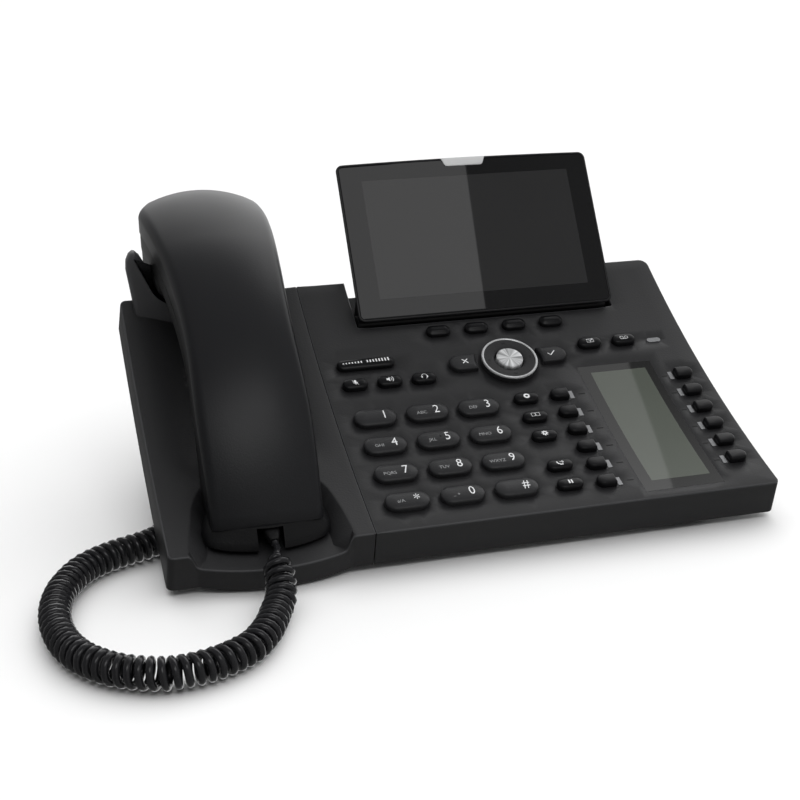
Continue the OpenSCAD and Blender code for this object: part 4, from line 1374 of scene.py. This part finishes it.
def apply_boolean(obj, cutter):
    modifier(obj, "BOOLEAN", "cut", operation="DIFFERENCE", object=cutter, solver="EXACT")
    bpy.context.view_layer.update()
    graph = bpy.context.evaluated_depsgraph_get()
    mesh = bpy.data.meshes.new_from_object(obj.evaluated_get(graph))
    obj.modifiers.clear()
    obj.data = mesh


def make_ear_cup():
    ys = [40 + (EAR_END - 0.6 - 40) * (1 - (1 - k / 20) ** 2) for k in range(21)]
    right = [(plan_half(min(y + 0.6, EAR_END)) - 0.6, y) for y in ys]
    loop = [(-x, y) for x, y in right[::-1]]
    front = [(x, y) for x, y in arc_points(-right[0][0] + 7, 40, 7, 180, 270, 6)][1:]
    front += [(x, y) for x, y in arc_points(right[0][0] - 7, 40, 7, 270, 360, 6)][:-1]
    loop = loop + front + right
    rings = []
    for inset, z in ((7.6, 75.2), (5.0, 75.9), (2.9, 77.2), (1.5, 79.0), (0.6, 81.4), (0.1, 84.0),
                     (0.0, 88.0), (0.0, 93.0)):
        rings.append([Vector((HAND_X + x, y, z)) * MM for x, y in offset(loop, inset)])
    top = []
    for x, y in loop:
        r = SHELL_LOW - 0.3
        a = math.asin(max(-1, min(1, (y - HAND_Y) / r)))
        top.append(Vector((HAND_X + x, y, HAND_Z + r * math.cos(a))) * MM)
    rings.append(top)
    solid("ear_cup", rings, MAT["inner_shell_plastic"], "handset",
          sharp=40)
    make_earpiece()


def make_earpiece():
    """Ring and pierced rosette on the ear cup's face."""
    m = Matrix.Translation(Vector((HAND_X, 59, 0)) * MM) @ Matrix.Scale(MM, 4)
    verts, faces = lathe([(14, 74.9), (19.5, 74.6), (20.6, 74.9), (21.2, 75.8), (21.4, 77.6)], 72, m)
    add("earpiece_ring", verts, faces, MAT["inner_plastic"], "handset")
    for k in range(19):
        r, a = (0.0, 0.0) if k == 0 else (4.2, k * math.pi / 3) if k < 7 else (8.4, k * math.pi / 6)
        px, py = r * math.cos(a), r * math.sin(a)
        hole = Matrix.Translation(Vector((HAND_X + px, 59 + py, 0)) * MM) @ Matrix.Scale(MM, 4)
        verts, faces = lathe([(1.3, 74.86), (1.3, 74.7), (0.8, 74.72), (0.75, 75.0)], 16, hole)
        add(f"earpiece_rim_{k}", verts, faces, MAT["body_plastic"], "handset")


def make_plug():
    m = face_frame(-81.2, 9.0)
    rings = []
    for y, w, h in ((6.9, 3.0, 2.1), (-1.0, 3.0, 2.1), (-2.2, 2.5, 2.0), (-4.0, 2.1, 1.9),
                    (-5.0, 1.7, 1.7), (-5.5, 1.5, 1.5)):
        rings.append([(w * math.copysign(abs(math.cos(b)) ** 0.6, math.cos(b)), y,
                       -0.9 + h * math.copysign(abs(math.sin(b)) ** 0.6, math.sin(b)))
                      for b in turns(24)])
    return solid("cord_plug", placed(m, rings), MAT["inner_plastic"], "handset",
                 node="handset_plug", sharp=40)


# ---------- display ----------
DISP_W, DISP_H, DISP_TILT = 115.6, 71.0, math.radians(56.1)
DISP_AT = Vector(((RECESS_X0 + RECESS_X1) / 2, 28.1, 62.6))
HINGE_UP, HINGE_IN = 2.0, 10.5


def display_frame():
    m = Matrix.Rotation(DISP_TILT, 4, "X")
    m.translation = DISP_AT * MM
    return m @ Matrix.Scale(MM, 4)


def display_loop(inset, r=3.0):
    w, h = DISP_W / 2 - inset, DISP_H - 2 * inset
    loop = rounded_loop([(-w, 0, max(r - inset, 0.3)), (w, 0, max(r - inset, 0.3)),
                         (w, h, max(r - inset, 0.3)), (-w, h, max(r - inset, 0.3))], 8)
    loop = dense(loop, 6)
    return [(x, y + inset + 0.7 * (1 - (x / (DISP_W / 2)) ** 2) * smooth((y - 10) / 50)) for x, y in loop]


def make_display():
    m = display_frame()
    rings = []
    for inset, z in ((1.0, -0.9), (0.95, -0.05), (0.85, 0.02), (0.5, 0.05), (0.2, -0.05), (0.05, -0.3),
                     (0.0, -0.7), (0.1, -1.1), (1.4, -4.1), (1.7, -4.5), (2.3, -4.7), (2.6, -5.2),
                     (2.7, -7.6), (3.1, -8.5), (4.2, -9.0)):
        rings.append([(x, y, z) for x, y in display_loop(inset)])
    barrel = [[(x, HINGE_UP + r * math.cos(b), -HINGE_IN + r * math.sin(b)) for b in turns(32)]
              for x, r in ((-57.3, 3.6), (-56.9, 4.0), (56.9, 4.0), (57.3, 3.6))]
    verts = [p for ring in placed(m, rings + barrel) for p in ring]
    faces = [f[::-1] for f in loft(rings)] + loft(barrel, base=sum(map(len, rings)))
    body = add("display_body", verts, faces, MAT["display_plastic"], "display")
    sharpen(body, 35)
    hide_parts("display_housing")
    glass_rings = [[(x, y, z) for x, y in display_loop(i)]
                   for i, z in ((1.05, -1.0), (1.05, -0.12), (1.2, -0.02), (1.5, 0.0))]
    solid("display_glass", placed(m, glass_rings), MAT["glass_border"], "display",
          node="display_screen", flat=True)
    x0, x1, y0, y1 = -DISP_W / 2 + 10.5, DISP_W / 2 - 10.0, 9.3, DISP_H - 7.8
    panel_rings = [[(x, y, z) for x, y in rounded_loop([(x0 + i, y0 + i, 0.2), (x1 - i, y0 + i, 0.2),
                                                        (x1 - i, y1 - i, 0.2), (x0 + i, y1 - i, 0.2)], 3)]
                   for i, z in ((0, -0.3), (0, 0.012), (0.05, 0.02))]
    solid("display_panel", placed(m, panel_rings), MAT["glass_panel"], "display",
          flat=True)
    lens = [(-8.6, DISP_H - 3.3, 1.6), (8.6, DISP_H - 3.3, 1.6), (10.2, DISP_H + 0.55, 0.4),
            (-10.2, DISP_H + 0.55, 0.4)]
    rings = [[(x, y, z) for x, y in offset(rounded_loop(lens, 6), i)]
             for i, z in ((0, -2.9), (0, 0.28), (0.12, 0.42), (0.4, 0.5))]
    solid("alert_lens", placed(m, rings), MAT["alert_silver"], "display",
          node="alert_light_lens", sharp=35)


def curved_panel(name, x0, x1, s0, s1, low, high, material, node=None, bevel=0.25):
    """Panel that follows the face, with a small bevel round its top."""
    n = 40
    loops = []
    for inset, h in ((0.0, low), (0.0, high - bevel), (bevel, high)):
        loop = [(x1 - inset, lerp(s0 + inset, s1 - inset, k / n)) for k in range(n + 1)]
        loop += [(x0 + inset, lerp(s1 - inset, s0 + inset, k / n)) for k in range(n + 1)]
        loops.append([on(x, s, h) for x, s in loop])
    verts = [p for r in loops for p in r]
    faces = loft(loops, False)
    count = 2 * (n + 1)
    for level, flip in ((0, True), (2, False)):
        for k in range(n):
            a, b = level * count + k, level * count + k + 1
            c, d = level * count + count - 2 - k, level * count + count - 1 - k
            f = (a, b, c, d)
            faces.append(f[::-1] if flip else f)
    obj = add(name, verts, faces, material, "base")
    sharpen(obj, 20)
    if node:
        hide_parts(node)


def make_label_display():
    curved_panel("label_glass", LABEL_X0, LABEL_X1, LABEL_S0, LABEL_S1, -1.5, 0.02,
                 MAT["label_glass"], "label_display")
    curved_panel("label_panel", 68.8, 93.8, 10.1, 76.4, -0.5, 0.04, MAT["label_lcd"], bevel=0.02)
    points = []
    for _, x, s, flat in LINE_KEYS:
        a = (59.0, 61.9) if flat > 0 else (99.0, 101.4)
        points.append(box(a[0], s - 0.3, a[1], s + 0.3))
    shape = joined(*points)
    add("label_dashes", [on(x, s, 0.03) for x, s in shape[0]], shape[1], MAT["arrow_dark"], "base",
        shade_smooth=False)


def make_cord(plug):
    """Curly cord wound along its route, with a straight tail at each end."""
    path = cord_path()
    obj = tube("curly_cord", path, WIRE_D, 8, MAT["cord_jacket"], None)
    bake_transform(obj)
    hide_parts("handset_cord")


make_cord(make_plug())
MAT["button_brushed"] = brushed_radial()
make_dial_keys()
make_small_keys()
make_nav()
make_console()
make_cradle()
make_outer_shell()
make_grip()
make_mouth_cup()
make_ear_cup()
make_display()
make_label_display()


# ---------- floor, light ----------
def make_floor():
    mat = bpy.data.materials.new("floor_white")
    mat.use_nodes = True
    bsdf = mat.node_tree.nodes["Principled BSDF"]
    bsdf.inputs["Base Color"].default_value = (0.88, 0.88, 0.88, 1)
    bsdf.inputs["Roughness"].default_value = 0.9
    size = 6.0
    floor = add("floor", [(-size, -size, 0), (size, -size, 0), (size, size, 0), (-size, size, 0)],
                [(0, 1, 2, 3)], mat, None, shade_smooth=False)
    floor.visible_glossy = False


def area_light(name, at, target, size_x, size_y, watts, turn=0.0):
    data = bpy.data.lights.new(name, "AREA")
    data.shape = "RECTANGLE"
    data.size = size_x
    data.size_y = size_y
    data.energy = watts
    lamp = bpy.data.objects.new(name, data)
    bpy.context.scene.collection.objects.link(lamp)
    lamp.location = at
    aim = (Vector(target) - Vector(at)).to_track_quat("-Z", "Y").to_matrix()
    lamp.rotation_euler = (aim @ Matrix.Rotation(turn, 3, "Z")).to_euler()
    return lamp


def mirror_spot(point, normal, height):
    """Where the camera sees the plane z = height mirrored at a point of a surface, in metres."""
    ray = (point - bpy.context.scene.camera.location).normalized()
    ray -= 2 * ray.dot(normal) * normal
    return point + ray * (height - point.z) / ray.z


def split_box(name, high, low, height, width, length, radiance):
    """Softbox whose right edge the camera sees mirrored on a line between two (point, normal)."""
    high, low = mirror_spot(*high, height), mirror_spot(*low, height)
    edge = (high - low).normalized()
    left = Vector((-edge.y, edge.x, 0)) * (1 if edge.y > 0 else -1)
    centre = (high + low) / 2 + left * width / 2
    area_light(name, centre, centre - Vector((0, 0, 1)), width, length,
               radiance * math.pi * width * length, turn=math.atan2(-edge.x, edge.y))


def softboxes():
    m = display_frame()
    normal = (m.to_3x3() @ Vector((0, 0, 1))).normalized()
    split_box("front_box", (m @ Vector((1.0, DISP_H, 0)), normal), (m @ Vector((-1.5, 0, 0)), normal),
              1.5, 1.3, 0.9, 1.05)
    ends = []
    for x, s in ((87.4, 80.0), (75.2, 4.0)):
        ends.append((Vector(on(x, s)), Vector((0, -math.sin(tilt(s)), math.cos(tilt(s))))))
    split_box("label_box", *ends, 1.6, 0.2, 0.65, 0.75)


WORLD_DIM = 0.1
WALL_LEAN = -0.2      # the wall's top edge is higher to the left


def studio_world():
    """White wall behind the phone, up to about 50 degrees high; dim above and to the sides."""
    world = bpy.data.worlds.new("studio")
    bpy.context.scene.world = world
    world.use_nodes = True
    nt = world.node_tree
    coords = nt.nodes.new("ShaderNodeTexCoord")
    split = shader_node(nt, "ShaderNodeSeparateXYZ", {"Vector": coords.outputs["Generated"]})
    x, y, z = (split.outputs[axis] for axis in "XYZ")
    lean = shader_node(nt, "ShaderNodeMath", {0: x, 1: WALL_LEAN, 2: z}, operation="MULTIPLY_ADD")
    total = None
    for value, low, high, at_low, at_high in (
            (lean.outputs["Value"], 0.59, 0.82, 1.0, WORLD_DIM), (y, 0.15, 0.6, WORLD_DIM, 1.0),
            (x, -0.35, 0.1, WORLD_DIM, 1.0), (z, -0.1, 0.0, 0.7, 1.0)):
        span = shader_node(nt, "ShaderNodeMapRange", {
            "From Min": low, "From Max": high, "To Min": at_low, "To Max": at_high, "Value": value},
            interpolation_type="SMOOTHSTEP")
        part = span.outputs["Result"]
        total = part if total is None else shader_node(
            nt, "ShaderNodeMath", {0: total, 1: part}, operation="MULTIPLY").outputs["Value"]
    lift = shader_node(nt, "ShaderNodeMath", {0: total, 1: WORLD_DIM}, operation="ADD")
    nt.links.new(lift.outputs["Value"], nt.nodes["Background"].inputs["Strength"])
    nt.nodes["Background"].inputs["Color"].default_value = (1, 1, 1, 1)


def sun(name, toward, strength, spread):
    """Broad overhead light for the floor and the matt faces; it leaves no highlight."""
    data = bpy.data.lights.new(name, "SUN")
    data.energy = strength
    data.angle = math.radians(spread)
    lamp = bpy.data.objects.new(name, data)
    bpy.context.scene.collection.objects.link(lamp)
    lamp.rotation_euler = Vector(toward).to_track_quat("-Z", "Y").to_euler()
    lamp.visible_glossy = False


def make_light():
    studio_world()
    sun("overhead", (-0.3, -0.35, -1.0), 3.2, 105)
    softboxes()
    bpy.context.scene.view_settings.view_transform = "Standard"


make_rear_panel()
make_ports()
make_floor()
make_light()
